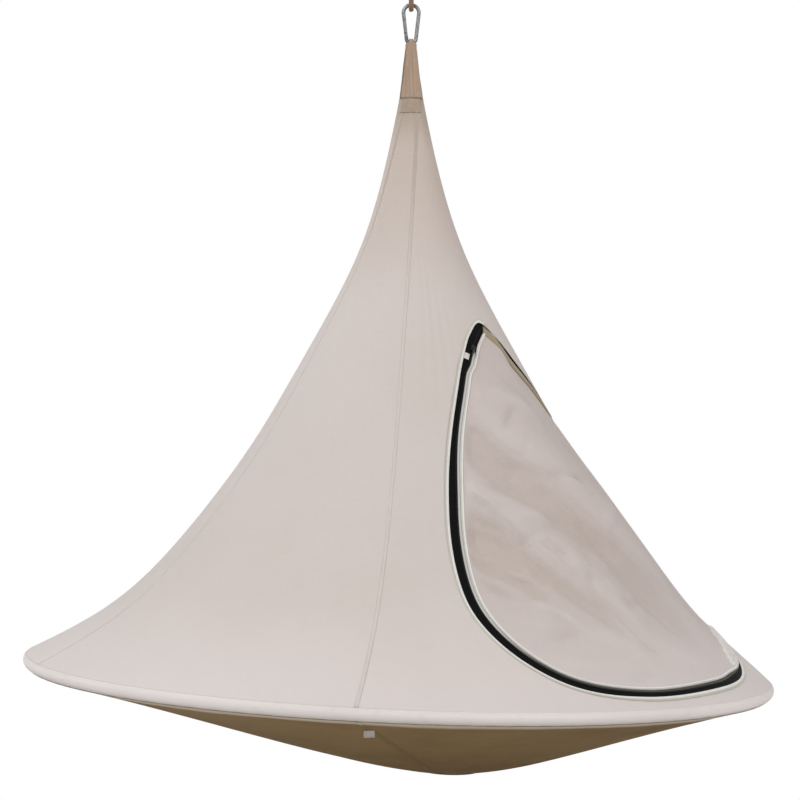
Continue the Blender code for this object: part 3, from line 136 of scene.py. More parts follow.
foot_z = -hook_drop - (hook_length - 2 * rod_radius)
tent_top_z = foot_z + rod_radius + gap + strap_thickness
hoop_z = tent_top_z - tent_drop
sleeve_radius = hoop_tube_radius + gap + cloth
landing_turn = math.radians(landing_angle)
landing_radius = hoop_radius + sleeve_radius * math.cos(landing_turn)
landing_drop = tent_drop - sleeve_radius * math.sin(landing_turn)
hoop_lean = math.tan(math.radians(hoop_tilt))
print(f"strap fold at {tent_top_z:.3f}, hoop at {hoop_z:.3f}")

# %% [markdown]
# ## The shell as a surface
# The shell is a surface of two parameters: an azimuth round the tent and a drop below the
# strap. One smooth curve gives the radius at every drop. A real shell is flattened at the
# neck, where the cloth is gathered into the strap, and leans with the tilted hoop at the
# foot, so both are blended in with weights.


# %% Smooth curve through the profile
def natural_spline(xs, ys):
    """Cubic pieces through the points; second slopes match at each and are 0 at the ends."""
    xs, ys = np.asarray(xs, float), np.asarray(ys, float)
    step, count = np.diff(xs), len(xs)
    slope = np.diff(ys) / step
    matrix = np.eye(count)
    inner = np.arange(1, count - 1)
    matrix[inner, inner - 1] = step[:-1]
    matrix[inner, inner] = 2 * (step[:-1] + step[1:])
    matrix[inner, inner + 1] = step[1:]
    right = np.zeros(count)
    right[inner] = 6 * np.diff(slope)
    bend = np.linalg.solve(matrix, right)

    def value(x):
        """The curve's height at one place or at many."""
        x = np.asarray(x, float)
        i = np.clip(np.searchsorted(xs, x) - 1, 0, count - 2)
        a, b = (xs[i + 1] - x) / step[i], (x - xs[i]) / step[i]
        curve = (a**3 - a) * bend[i] + (b**3 - b) * bend[i + 1]
        return a * ys[i] + b * ys[i + 1] + curve * step[i] ** 2 / 6

    return value


shell_radius = natural_spline(
    [share * landing_drop for share, _ in profile],
    [share * landing_radius for _, share in profile],
)
print(f"radius half way down: {shell_radius(landing_drop / 2):.3f}")


# %% The shell's face
def together(*parts):
    """Arrays of matching shapes as one grid of points or pairs."""
    return np.stack(np.broadcast_arrays(*parts), axis=-1)


def twist(drop):
    """Degrees that the seams are turned at a drop: fading with depth, none at the rim."""
    fade = np.exp(-(drop - shell_top) / twist_fade)
    return top_twist * fade * (1 - drop / landing_drop)


def lean(radius, azimuth):
    """Metres that the tilted hoop's plane lies lower: radius times slope times cosine."""
    return radius * hoop_lean * np.cos(np.radians(azimuth - hoop_low_side))


def shell_face(azimuth, drop):
    """A circle of the profile's radius at each drop, flattened at the neck, moved with the hoop."""
    azimuth, drop = np.broadcast_arrays(np.asarray(azimuth, float), np.asarray(drop, float))
    radius = shell_radius(drop)
    weight = (np.maximum(drop, 0) / landing_drop) ** lean_power
    roundness = np.clip((drop - shell_top) / (neck_round_at - shell_top), 0, 1)
    depth_share = neck_flatness + (1 - neck_flatness) * roundness * (2 - roundness)
    turn = np.radians(azimuth)
    x = hoop_shift * weight + radius * np.sin(turn)
    y = -radius * depth_share * np.cos(turn)
    z = tent_top_z - drop - lean(radius, azimuth) * weight
    return together(x, y, z)


def shell_normal(azimuth, drop):
    """The cross product of a small step down and a small step round, made one metre long."""
    small, turned = 0.0005, 0.05
    behind, ahead = np.subtract(azimuth, turned), np.add(azimuth, turned)
    around = shell_face(ahead, drop) - shell_face(behind, drop)
    upper = np.maximum(np.subtract(drop, small), 0.0)
    lower = np.minimum(np.add(drop, small), landing_drop)
    down = shell_face(azimuth, lower) - shell_face(azimuth, upper)
    normal = np.cross(down, around)
    return normal / np.linalg.norm(normal, axis=-1, keepdims=True)


def shell_point(azimuth, drop, lift=0.0):
    """The shell's face moved out by a lift along its normal."""
    outwards = shell_normal(azimuth, drop)
    return shell_face(azimuth, drop) + outwards * np.asarray(lift, float)[..., None]


print("front of the rim:", shell_point(0.0, landing_drop).round(3))

# %% [markdown]
# ## From arrays to meshes
# Every new piece is a grid of points. The helpers below number the corners of its cells,
# lay a pattern map in metres over it, turn the faces to look outwards and hand the mesh
# to Blender in one go.


# %% Mesh helpers
def corners_of(grid):
    """The four corners of each cell of a grid, in order round the cell."""
    cells = [grid[:-1, :-1], grid[:-1, 1:], grid[1:, 1:], grid[1:, :-1]]
    return np.stack(cells, axis=2)


def numbered(rows, columns, ring=False, loop=False):
    """Point numbers of a grid; ring joins its last column to its first, loop its last row."""
    number = np.arange(rows * columns).reshape(rows, columns)
    if ring:
        number = np.concatenate([number, number[:, :1]], axis=1)
    if loop:
        number = np.concatenate([number, number[:1]], axis=0)
    return number


def crossed(points, faces):
    """The cross product of each cell's diagonals: twice its area, along its normal."""
    one = points[faces[:, 2]] - points[faces[:, 0]]
    other = points[faces[:, 3]] - points[faces[:, 1]]
    return np.cross(one, other)


def cloth_area(points, corners):
    """Square metres of all the cells of a grid."""
    normal = crossed(points.reshape(-1, 3), corners.reshape(-1, 4))
    return float(0.5 * np.linalg.norm(normal, axis=1).sum())


def mesh_piece(name, points, corners, maps, away, caps=()):
    """A mesh from points and cells; the cells are reversed unless they look the way of away."""
    points = np.asarray(points, float).reshape(-1, 3)
    faces, maps = corners.reshape(-1, 4), maps.reshape(-1, 4, 2)
    normal = crossed(points, faces)
    away = np.broadcast_to(np.asarray(away, float).reshape(-1, 3), points.shape)
    step = -1 if float((normal * away[faces[:, 0]]).sum()) < 0 else 1
    loops = faces[:, ::step].tolist() + [list(cap[0][::step]) for cap in caps]
    spots = [maps[:, ::step].reshape(-1, 2)] + [np.asarray(cap[1])[::step] for cap in caps]
    mesh = bpy.data.meshes.new(name)
    mesh.from_pydata(points, [], loops)
    pattern = mesh.uv_layers.new(name="metres")
    pattern.data.foreach_set("uv", np.concatenate(spots).astype(np.float32).ravel())
    mesh.update()
    mesh.shade_smooth()
    obj = bpy.data.objects.new(name, mesh)
    bpy.context.scene.collection.objects.link(obj)
    return obj


def wall(obj, thickness):
    """Gives an open sheet its thickness, on the inner side of the modelled face."""
    solid = obj.modifiers.new("wall", "SOLIDIFY")
    solid.thickness = thickness
    solid.offset = -1.0
    return obj


def sheet_piece(name, points, spots, away, thickness, ring=False):
    """An open grid with a pattern map in metres and a wall."""
    rows, columns = points.shape[:2]
    corners = corners_of(numbered(rows, columns, ring))
    return wall(mesh_piece(name, points, corners, corners_of(spots), away), thickness)


def tube_piece(name, points, spots, sharp=None):
    """A closed skin with two caps: rows follow a path, columns go round it."""
    rows, columns = points.shape[:2]
    number = numbered(rows, columns, ring=True)
    away = points - points.mean(axis=1, keepdims=True)
    caps = [(number[0, :-1][::-1], spots[0, :-1][::-1]), (number[-1, :-1], spots[-1, :-1])]
    obj = mesh_piece(name, points, corners_of(number), corners_of(spots), away, caps)
    if sharp:
        obj.data.set_sharp_from_angle(angle=math.radians(sharp))
    return obj


def row_metres(points, axis):
    """Running length along an axis of a grid of points, from 0."""
    steps = np.linalg.norm(np.diff(points, axis=axis), axis=-1)
    start = np.zeros_like(np.take(steps, [0], axis=axis))
    return np.concatenate([start, np.cumsum(steps, axis=axis)], axis=axis)


def strip_map(across, points):
    """Pattern map of a long strip: metres across it, and metres along its columns."""
    metres = row_metres(points, 0)
    return together(np.broadcast_to(across, metres.shape), metres)


def dress(obj, finish, body, slot, *nodes):
    """Gives a piece its finish and its body, if it has just one, and hides the solids it stands
    for.
    """
    obj.data.materials.clear()
    obj.data.materials.append(finish)
    if body:
        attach(obj, body)
    if nodes:
        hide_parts(*nodes)
    return obj


print("helpers ready")

# %% [markdown]
# ## Shader sums
# Node trees are easier to read as sums. `Wire` wraps one output of a node, and Python's
# operators on it add Math nodes. A number stays a number until it meets a wire.


# %% A wire that can be added and multiplied
def plug(tree, target, value):
    """Links a wire to a socket, or writes a plain value on it."""
    if isinstance(value, Wire):
        tree.links.new(value.socket, target)
    else:
        target.default_value = value


class Wire:
    """One output socket in a node tree, with arithmetic."""

    def __init__(self, tree, socket):
        self.tree = tree
        self.socket = socket

    def sum_node(self, operation, *values):
        """A new node that does one sum."""
        node = self.tree.nodes.new("ShaderNodeMath")
        node.operation = operation
        for target, value in zip(node.inputs, values):
            plug(self.tree, target, value)
        return Wire(self.tree, node.outputs[0])

    def __add__(self, other):
        return self.sum_node("ADD", self, other)

    __radd__ = __add__

    def __sub__(self, other):
        return self.sum_node("SUBTRACT", self, other)

    def __rsub__(self, other):
        return self.sum_node("SUBTRACT", other, self)

    def __mul__(self, other):
        return self.sum_node("MULTIPLY", self, other)

    __rmul__ = __mul__

    def __truediv__(self, other):
        return self.sum_node("DIVIDE", self, other)

    def __pow__(self, other):
        return self.sum_node("POWER", self, other)

    def __gt__(self, other):
        return self.sum_node("GREATER_THAN", self, other)

    def sine(self):
        """The value's sine, in radians."""
        return self.sum_node("SINE", self)

    def size(self):
        """The value without its sign."""
        return self.sum_node("ABSOLUTE", self)

    def part(self):
        """What is left of the value over a whole number."""
        return self.sum_node("FRACT", self)

    def most(self, other):
        """The larger of two values."""
        return self.sum_node("MAXIMUM", self, other)

    def ridges(self, pitch):
        """Half waves from 0 to 1, one in each pitch."""
        return (self * (math.pi / pitch)).sine().size()


class Finish:
    """One material: its node tree, its shader, its colour so far and one method for any node."""

    def __init__(self, name, **fixed):
        self.material = bpy.data.materials.new(name)
        self.material.use_nodes = True
        self.tree = self.material.node_tree
        self.shader = self.tree.nodes["Principled BSDF"]
        for socket, value in fixed.items():
            self.shader.inputs[socket.replace("_", " ")].default_value = value

    def node(self, kind, settings=None, sockets=None, out=0):
        """Adds a node, sets its settings and then its sockets, and gives one of its outputs."""
        node = self.tree.nodes.new(kind)
        for key, value in (settings or {}).items():
            setattr(node, key, value)
        for key, value in (sockets or {}).items():
            plug(self.tree, node.inputs[key], value)
        return Wire(self.tree, node.outputs[out])

    def into(self, socket, wire):
        """Feeds one of the shader's sockets."""
        plug(self.tree, self.shader.inputs[socket], wire)

    def place(self):
        """Position in metres."""
        return self.node("ShaderNodeTexCoord", out=3)

    def height(self, place):
        """The upright part of a position."""
        parts = self.tree.nodes.new("ShaderNodeSeparateXYZ")
        plug(self.tree, parts.inputs[0], place)
        return Wire(self.tree, parts.outputs[2])

    def across_along(self):
        """The pattern map's two metres as two wires."""
        spot = self.node("ShaderNodeUVMap", {"uv_map": "metres"})
        parts = self.tree.nodes.new("ShaderNodeSeparateXYZ")
        plug(self.tree, parts.inputs[0], spot)
        return Wire(self.tree, parts.outputs[0]), Wire(self.tree, parts.outputs[1])

    def noise(self, vector, scale, detail=2.0, rough=0.5, distortion=0.0):
        """Cloudy noise from about 0 to 1."""
        sockets = {"Vector": vector, "Scale": scale, "Detail": detail}
        sockets.update({"Roughness": rough, "Distortion": distortion})
        return self.node("ShaderNodeTexNoise", {}, sockets)

    def stretched(self, x, y, x_scale, y_scale, detail=2.0):
        """Noise whose grain is longer one way: a vector from two scaled wires."""
        vector = self.node("ShaderNodeCombineXYZ", {}, {0: x * x_scale, 1: y * y_scale})
        return self.noise(vector, 1.0, detail)

    def mix(self, factor, a, b):
        """Two colours blended by a factor."""
        return self.node("ShaderNodeMix", {"data_type": "RGBA"}, {0: factor, 6: a, 7: b}, out=2)

    def coat(self, mask, colour):
        """Lays a colour over the tone so far, as strongly as the mask says."""
        self.tone = self.mix(mask, self.tone, colour)

    def done(self, roughness, normal=None):
        """Feeds the tone, the roughness and the relief to the shader, and gives the material."""
        self.into("Base Color", self.tone)
        self.into("Roughness", roughness)
        if normal is not None:
            self.into("Normal", normal)
        return self.material

    def soft_step(self, value, low, high):
        """0 below low, 1 above high, smooth between."""
        settings = {"interpolation_type": "SMOOTHSTEP"}
        return self.node("ShaderNodeMapRange", settings, {0: value, 1: low, 2: high})

    def bump(self, height, distance, strength=1.0, under=None):
        """A bump from a height of 0 to 1 that stands for a distance in metres."""
        sockets = {"Height": height, "Distance": distance, "Strength": strength}
        if under is not None:
            sockets["Normal"] = under
        return self.node("ShaderNodeBump", {}, sockets)

    def plain_weave(self, u, v, pitch):
        """Height of a plain weave: warp and weft take turns on top, each a row of half waves."""
        warp, weft = (u * (math.pi / pitch)).sine(), (v * (math.pi / pitch)).sine()
        over = (warp * weft) > 0.0
        return over * warp.size() + (1.0 - over) * weft.size()

    def stitches(self, u, v, lines, pitch):
        """A mask of sewn rows: a thin line at v = each line, cut into dashes along u."""
        dash = self.soft_step(((u / pitch).part() - 0.5).size(), 0.40, 0.30)
        near = [(v - line).size() for line in lines]
        rows = [1.0 - self.soft_step(n, thread_half * 0.4, thread_half) for n in near]
        mask = rows[0]
        for row in rows[1:]:
            mask = mask.most(row)
        return mask * dash

    def sewn_relief(self, sewn, weave, stands=0.0005):
        """The bump of stitches that stand on top of a weave."""
        return self.bump(sewn, stands, 0.8, self.bump(weave, 0.0002, 0.5))


def shade(red, green, blue):
    """A colour for a socket."""
    return (red, green, blue, 1.0)


thread_half = 0.0006
thread_shadow = shade(0.36, 0.32, 0.28)
# A darker brown laid on the cloth just below the neck.
neck_brown = shade(0.375, 0.300, 0.240)
print("shader sums ready")

# %% [markdown]
# ## Canvas
# The shell is a plain-woven cotton and polyester canvas, off-white with a hint of pink.
# Under soft light its weave reads as a fine grain, and threads thicken here and there.
# Its upper half is darker and warmer with painted shade, it is browner still just below
# the neck, and its foot is paler with painted light. Large soft clouds keep it from
# looking like paint. The door's thin cloth has the same finish, with painted shade in the
# hollows of its folds and a painted highlight on their crests, from one number a point.


# %% Canvas finish
canvas_pitch = 0.0009
# Heights of the painted shade on the upper half, of the browner band below the neck and of the
# painted light on the foot.
upper_shade_from, upper_shade_to = -0.90, -0.42
neck_band_from, neck_band_to = -0.49, -0.375
foot_light_from, foot_light_to = -1.78, -1.45


def canvas_finish(name, pale, warm, pitch=canvas_pitch, crinkle=0.0):
    """Weave, slubs, clouds, painted shade above, a browner neck and painted light at the foot;
    crinkle adds a slack cloth's folds, with painted shade and highlight.
    """
    finish = Finish(name, Sheen_Weight=0.12, Sheen_Roughness=0.5, Specular_IOR_Level=0.25)
    u, v = finish.across_along()
    place = finish.place()
    height = finish.height(place)
    weave = finish.plain_weave(u, v, pitch)
    slub = finish.stretched(u, v, 900.0, 26.0) * 0.5 + finish.stretched(u, v, 26.0, 900.0) * 0.5
    clouds = finish.noise(place, 2.2, 3.0, 0.5)
    marks = finish.noise(place, 17.0, 4.0, 0.6)
    finish.tone = finish.mix(finish.soft_step(clouds, 0.35, 0.70), pale, warm)
    # Painted shade: darker and warmer towards the top, where less light falls.
    upper_shade = finish.soft_step(height, upper_shade_from, upper_shade_to)
    finish.coat(upper_shade * 0.70, shade(0.500, 0.400, 0.330))
    # Darker brown just below the neck.
    finish.coat(finish.soft_step(height, neck_band_from, neck_band_to) * 0.80, neck_brown)
    if crinkle:
        # Painted shade in the hollows of the folds, and a painted highlight on their crests.
        folded = finish.node("ShaderNodeAttribute", {"attribute_name": "fold_depth"}, out=2)
        finish.coat(finish.soft_step(folded, 0.52, 0.98) * 0.36, shade(0.440, 0.360, 0.310))
        crest_highlight = 1.0 - finish.soft_step(folded, 0.10, 0.48)
        finish.coat(crest_highlight * 0.30, shade(0.66, 0.60, 0.585))
    # Painted light: the flaring foot is paler, where it faces up into the light.
    foot_light = 1.0 - finish.soft_step(height, foot_light_from, foot_light_to)
    finish.coat(foot_light * 0.55, shade(0.715, 0.660, 0.650))
    finish.coat(finish.soft_step(slub, 0.38, 0.66) * 0.14, shade(0.80, 0.77, 0.73))
    finish.coat(finish.soft_step(marks, 0.58, 0.80) * 0.05, shade(0.45, 0.38, 0.31))
    finish.coat((1.0 - weave) * 0.10, thread_shadow)
    fine = finish.bump(weave * 0.75 + slub * 0.5, 0.00022, 0.55)
    soft = finish.bump(finish.noise(place, 9.0, 2.0, 0.4), 0.0016, 0.35, fine)
    if crinkle:
        folds = finish.noise(place, 24.0, 4.0, 0.55, 1.2)
        soft = finish.bump((folds - 0.5).size(), crinkle, 0.8, soft)
    return finish.done(0.80 + 0.14 * slub, soft)


canvas_pale, canvas_warm = shade(0.625, 0.560, 0.532), shade(0.600, 0.530, 0.494)
shell_canvas = canvas_finish("shell_canvas_woven", canvas_pale, canvas_warm)
print("made", shell_canvas.name)

# %% [markdown]
# ## Shell gores
# The shell is sewn from gores: long panels, narrow at the neck and wide at the rim. Each
# is its own piece with its own pattern map, so the weave runs straight down its middle
# as it does on a cut panel. Slight tension lines run from the neck and from the top of
# the doorway, and short puckers lie along the rim, as small waves in the lift.


# %% Waves in the canvas
def bell(value, middle, width):
    """1 at the middle, fading to 0 at a width to either side."""
    return np.exp(-(((value - middle) / width) ** 2))


def pucker(azimuth):
    """Two waves of different lengths, so that the puckers at the rim don't look counted."""
    return np.sin(azimuth * 2.3) + 0.6 * np.sin(azimuth * 3.9 + 1)


def canvas_lift(azimuth, drop):
    """Soft waves: lines at the door's top, puckers at the rim, an uneven pull all round."""
    azimuth, drop = np.broadcast_arrays(azimuth, drop)
    pull = np.sin(np.radians(azimuth * 5 + 40)) * np.sin(drop * 5.2) * 0.0012
    pull *= np.clip((drop - 0.25) / 0.3, 0, 1) * np.clip((landing_drop - drop) / 0.15, 0, 1)
    near_door = bell(azimuth, 13, 11) * bell(drop, 0.69, 0.13)
    tension = np.cos(azimuth * 1.15 + drop * 9) * near_door * 0.0013
    neck = np.cos(np.radians(azimuth * 9)) * bell(drop, 0.20, 0.10) * 0.0006
    near_rim = np.clip(1 - (landing_drop - drop) / 0.05, 0, 1) ** 1.5
    rim = pucker(azimuth) * near_rim * (1 - near_rim) * 0.0012
    beside = bell(azimuth, -14, 8) * bell(drop, landing_drop - 0.022, 0.02)
    short = np.sin(drop * 420 + azimuth * 0.6) * beside * 0.0011
    return pull + tension + neck + rim + short


def drops_between(top, steps):
    """Drops from a top to the rim, closer together towards the rim."""
    share = np.linspace(0, 1, steps + 1)
    return top + (landing_drop - top) * (1 - (1 - share) ** 1.25)


gore_drops = drops_between(shell_top, 149)


def gore_map(azimuth, drop, middle):
    """Metres round from the gore's middle line, and metres down the slope."""
    across = np.radians(azimuth - middle - twist(drop)) * shell_radius(drop)
    steep = np.linspace(0, landing_drop, 400)
    slope = np.r_[0, np.cumsum(np.hypot(np.diff(steep), np.diff(shell_radius(steep))))]
    return together(across, np.interp(drop, steep, slope))


def declare_sheet(points):
    """Works out a cloth's area from its grid; the area is not passed on."""
    area = cloth_area(points, corners_of(numbered(*points.shape[:2])))


def plain_gore(node, k, columns):
    """A gore between two seams: a grid of azimuths and drops, lifted by the waves."""
    base = np.linspace(seam_azimuths[k], seam_azimuths[k + 1], columns)
    drop = gore_drops[:, None]
    azimuth = base[None, :] + twist(drop)
    points = shell_point(azimuth, drop, canvas_lift(azimuth, drop))
    spots = gore_map(azimuth, drop, (base[0] + base[-1]) / 2)
    obj = sheet_piece(f"{node}_canvas", points, spots, shell_normal(azimuth, drop), cloth)
    dress(obj, shell_canvas, "tent", "shell_canvas", node)
    declare_sheet(points)


plain_gore("right_rear_gore", 1, 60)
plain_gore("rear_gore", 2, 60)
plain_gore("left_rear_gore", 3, 60)
plain_gore("front_gore", 4, 110)
print("gore rows:", len(gore_drops))

# %% [markdown]
# ## The doorway's edge
# The doorway is a rounded D, wider at its foot. It is drawn by a closed smooth curve
# through knots in (azimuth, drop), then walked at even steps of real length. Everything
# along it, from the binding to the zip, is a band at some inset from this edge.

# %% Edge of the doorway
door_azimuth = 56.0
doorway_half_angle = 46.0
doorway_top = 0.686
doorway_sill = 0.0215
doorway_height = landing_drop - doorway_sill - doorway_top
edge_samples = 1440
knot_samples = 40
facing_step = 9
corner_knots = [0, 2, 9, 16, 24, 26]
apex_fan = 0.012
apex_cut = 0.986
apex_strip = 0.002
doorway_outline = [
    (-0.170, 0.000),
    (-0.430, 0.037),
    (-0.600, 0.096),
    (-0.730, 0.168),
    (-0.870, 0.290),
    (-0.960, 0.425),
    (-1.000, 0.580),
    (-0.985, 0.718),
    (-0.925, 0.820),
    (-0.790, 0.917),
    (-0.620, 0.979),
    (-0.380, 1.001),
    (-0.060, 0.998),
    (0.240, 0.987),
    (0.450, 0.955),
    (0.610, 0.912),
    (0.770, 0.860),
    (0.900, 0.790),
    (0.980, 0.690),
    (1.000, 0.580),
    (0.970, 0.450),
    (0.880, 0.340),
    (0.710, 0.250),
    (0.490, 0.180),
    (0.290, 0.118),
    (0.090, 0.048),
]


def closed_curve(knots, per_side):
    """A cubic from knot to knot; its slope at a knot is half the step between the two beside it."""
    knots = np.asarray(knots, float)
    before, after, beyond = (np.roll(knots, shift, axis=0) for shift in (1, -1, -2))
    t = (np.arange(per_side) / per_side)[None, :, None]
    a, b, c, d = (k[:, None, :] for k in (before, knots, after, beyond))
    square, cube = 2 * a - 5 * b + 4 * c - d, 3 * b - a - 3 * c + d
    line = 0.5 * (2 * b + (c - a) * t + square * t**2 + cube * t**3)
    return line.reshape(-1, knots.shape[1])


outline = closed_curve(doorway_outline, knot_samples)
outline = np.concatenate([outline, outline[:1]])
walk_azimuth = door_azimuth + doorway_half_angle * outline[:, 0]
walk_drop = doorway_top + doorway_height * outline[:, 1]
walked = row_metres(shell_face(walk_azimuth, walk_drop)[None], 1)[0]
edge_length = float(walked[-1])
even = np.linspace(0, edge_length, edge_samples, endpoint=False)
edge_azimuth = np.interp(even, walked, walk_azimuth)
edge_drop = np.interp(even, walked, walk_drop)
corner_shares = walked[np.array(corner_knots) * knot_samples] / edge_length
print(f"the doorway's edge is {edge_length:.3f} m long")


# %% Places beside the edge
def edge_place(share, inset):
    """(azimuth, drop) at a share of the way round, moved square into the doorway by an inset.

    Just left of the apex all inward moves are parallel, so that the zip's bands end in one point.
    """
    spot = (np.asarray(share, float) % 1.0) * edge_samples
    ring = np.arange(edge_samples + 1)
    azimuths, drops = np.r_[edge_azimuth, edge_azimuth[0]], np.r_[edge_drop, edge_drop[0]]
    here_a, here_d = np.interp(spot, ring, azimuths), np.interp(spot, ring, drops)
    fanned = (np.asarray(inset) > 0) & (spot < apex_fan * edge_samples)
    facing = np.where(fanned, apex_fan * edge_samples, spot)
    ahead, behind = (facing + facing_step) % edge_samples, (facing - facing_step) % edge_samples
    radius, small = shell_radius(here_d), 0.001
    slope = (shell_radius(here_d + small) - shell_radius(here_d - small)) / (2 * small)
    stretch = np.sqrt(1 + slope**2)
    go_a = np.interp(ahead, ring, azimuths) - np.interp(behind, ring, azimuths)
    go_d = np.interp(ahead, ring, drops) - np.interp(behind, ring, drops)
    along_a, along_d = np.radians(go_a) * radius, go_d * stretch
    size = np.hypot(along_a, along_d)
    azimuth = here_a + np.degrees(along_d / size * inset / radius)
    return azimuth, here_d - along_a / size * inset / stretch


def edge_point(share, inset, lift=0.0):
    """A point beside the doorway's edge, off the shell by a lift."""
    return shell_point(*edge_place(share, inset), lift)


def smooth(t):
    """0 below 0, 1 above 1, and 3 t^2 - 2 t^3 between."""
    t = np.clip(t, 0, 1)
    return t * t * (3 - 2 * t)


roll_from, roll_full, roll_fading, roll_to = 0.0450, 0.0570, 0.100, 0.170
foot_from, foot_full, foot_fading, foot_to = 0.36, 0.44, 0.518, 0.568
side_roll, foot_roll = 0.0060, 0.0062
ending_from, ending_to, ending_share = 0.540, 0.614, 0.93
zip_band, outer_tape = 0.0275, 0.0165


def rising(value, start, end):
    """A smooth step that is 0 up to a start and 1 from an end on."""
    return smooth((value - start) / (end - start))


def eased(share, inset):
    """The inset of a band where the zip is rolled under: at the side, the foot and its end."""
    share, inset = np.asarray(share, float) % 1.0, np.asarray(inset, float)
    side = rising(share, roll_from, roll_full) * (1 - rising(share, roll_fading, roll_to))
    foot = rising(share, foot_from, foot_full) * (1 - rising(share, foot_fading, foot_to))
    rolled = (side_roll * side + foot_roll * foot) * np.clip(inset / outer_tape, 0, 1)
    ending = 1 - ending_share * rising(share, ending_from, ending_to) * (share < 0.75)
    zipped = np.minimum(inset, zip_band)
    inside = (zipped - rolled) * ending + inset - zipped
    return np.where(inset > 0, inside, inset * (1 + 0.4 * foot))


def edge_band(name, start, end, section, samples, sag=None):
    """A closed strip: a section's (inset, lift) pairs carried along the edge, lowered by a sag."""
    shares = np.linspace(start, end, samples)[:, None]
    insets, lifts = np.array(section).T
    lower = sag(shares, insets[None, :]) if sag else 0.0
    points = edge_point(shares, eased(shares, insets[None, :]), lifts[None, :] - lower)
    across = np.r_[insets, insets[0]] - insets.min()
    spots = together(shares * edge_length, across[None, :])
    return tube_piece(name, points, spots, sharp=50)


def strip_section(low, high, base, top, edge_share=0.4, crown=6, count=9):
    """A strip's section: flat below, with a crown above that is 1 minus the offset to a power."""
    t = np.linspace(0, 1, count)
    rise = edge_share + (1 - edge_share) * (1 - np.abs(2 * t - 1) ** crown)
    above = [(low + (high - low) * a, base + (top - base) * b) for a, b in zip(t, rise)]
    return [(low, base), ((low + high) / 2, base), (high, base)] + above[::-1]


print("apex of the doorway:", edge_point(0.0, 0.0).round(3))

# %% [markdown]
# ## The gore with the doorway
# The widest gore has the doorway cut in it. Rows run above the doorway, and below them
# rings spread from the doorway's edge to the gore's own border, so no cell is cut and
# the cloth follows the edge exactly.

# %% Door gore
binding_width = 0.009
half_top, side_steps, foot_steps, top_steps = 48, 84, 96, 52
split_drop = doorway_top - 0.035
corner_stations = np.cumsum([0, half_top, side_steps, foot_steps, side_steps, half_top])
edge_count = int(corner_stations[-1])
edge_shares = np.interp(np.arange(edge_count), corner_stations, corner_shares)


def door_gore_border():
    """(azimuth, drop) round the gore below the split, from the middle of its top and back."""
    left, right = seam_azimuths[0], seam_azimuths[1]
    down = drops_between(split_drop, side_steps)
    middle = (left + right) / 2
    base = np.r_[
        np.linspace(middle, left, half_top, endpoint=False),
        np.full(side_steps, left),
        np.linspace(left, right, foot_steps, endpoint=False),
        np.full(side_steps, right),
        np.linspace(right, middle, half_top, endpoint=False),
    ]
    drop = np.r_[
        np.full(half_top, split_drop),
        down[:-1],
        np.full(foot_steps, landing_drop),
        down[:0:-1],
        np.full(half_top, split_drop),
    ]
    return base + twist(drop), drop


def door_gore():
    """Rows of points above the split and rings below it, with the points at the split shared."""
    columns = 2 * half_top + 1
    rows = np.linspace(0, 1, top_steps + 1)[:, None]
    top_drop = shell_top + (split_drop - shell_top) * rows
    base = np.linspace(seam_azimuths[0], seam_azimuths[1], columns)[None, :]
    top_azimuth, top_drop = np.broadcast_arrays(base + twist(top_drop), top_drop)
    border = together(*door_gore_border())
    hemmed = together(*edge_place(edge_shares, -binding_width))
    edge = together(*edge_place(edge_shares, 0.0))
    share = np.linspace(0, 1, 34)[:, None, None] ** 1.2
    rings = np.concatenate([edge[None], hemmed[None] * (1 - share) + border[None] * share])
    azimuth = np.r_[top_azimuth.ravel(), rings[..., 0].ravel()]
    drop = np.r_[top_drop.ravel(), rings[..., 1].ravel()]
    upper = numbered(top_steps + 1, columns)
    lower = numbered(len(rings), edge_count, ring=True) + upper.size
    last = np.r_[upper[-1, half_top::-1], upper[-1, :half_top:-1]]
    turned = np.r_[lower[-1, : half_top + 1], lower[-1, edge_count - half_top : edge_count]]
    weld = np.arange(len(azimuth))
    weld[turned] = last
    corners = np.concatenate([corners_of(upper).reshape(-1, 4), corners_of(lower).reshape(-1, 4)])
    corners = weld[corners]
    points = shell_point(azimuth, drop, canvas_lift(azimuth, drop))
    spots = gore_map(azimuth, drop, sum(seam_azimuths[:2]) / 2)
    away = shell_normal(azimuth, drop)
    obj = wall(mesh_piece("door_gore_canvas", points, corners, spots[corners], away), cloth)
    dress(obj, shell_canvas, "tent", "shell_canvas", "door_gore")
    print(f"door gore: {len(points)} points, {cloth_area(points, corners):.3f} square metres")


door_gore()

# %% [markdown]
# ## Felled seams
# Two gores are joined by a felled seam: their edges are folded into each other and sewn
# down with two rows. From outside it is a low flat ridge 8.5 millimetres wide.


# %% Seam finish and ridges
def seam_finish(name, base, thread, width):
    """Canvas folded double, with two rows of stitches near its edges, darker brown towards the neck
    as the shell's painted shade and neck band.
    """
    finish = Finish(name, Sheen_Weight=0.12, Specular_IOR_Level=0.25)
    across, along = finish.across_along()
    weave = finish.plain_weave(across, along, canvas_pitch)
    place = finish.place()
    sewn = finish.stitches(along, across, (width * 0.16, width * 0.84), 0.0034)
    cloudy = finish.noise(place, 40.0, 3.0)
    mottled = finish.soft_step(cloudy, 0.35, 0.75)
    finish.tone = finish.mix(mottled * 0.25, base, shade(0.50, 0.44, 0.39))
    finish.coat((1.0 - weave) * 0.10, thread_shadow)
    # Darker brown towards the neck: the shell's painted shade over the upper half and its neck
    # band, in one ramp.
    toward_neck = finish.soft_step(finish.height(place), upper_shade_from, neck_band_to)
    finish.coat(toward_neck * 0.75, neck_brown)
    finish.coat(sewn * 0.75, thread)
    return finish.done(0.80 + 0.1 * cloudy, finish.sewn_relief(sewn, weave))


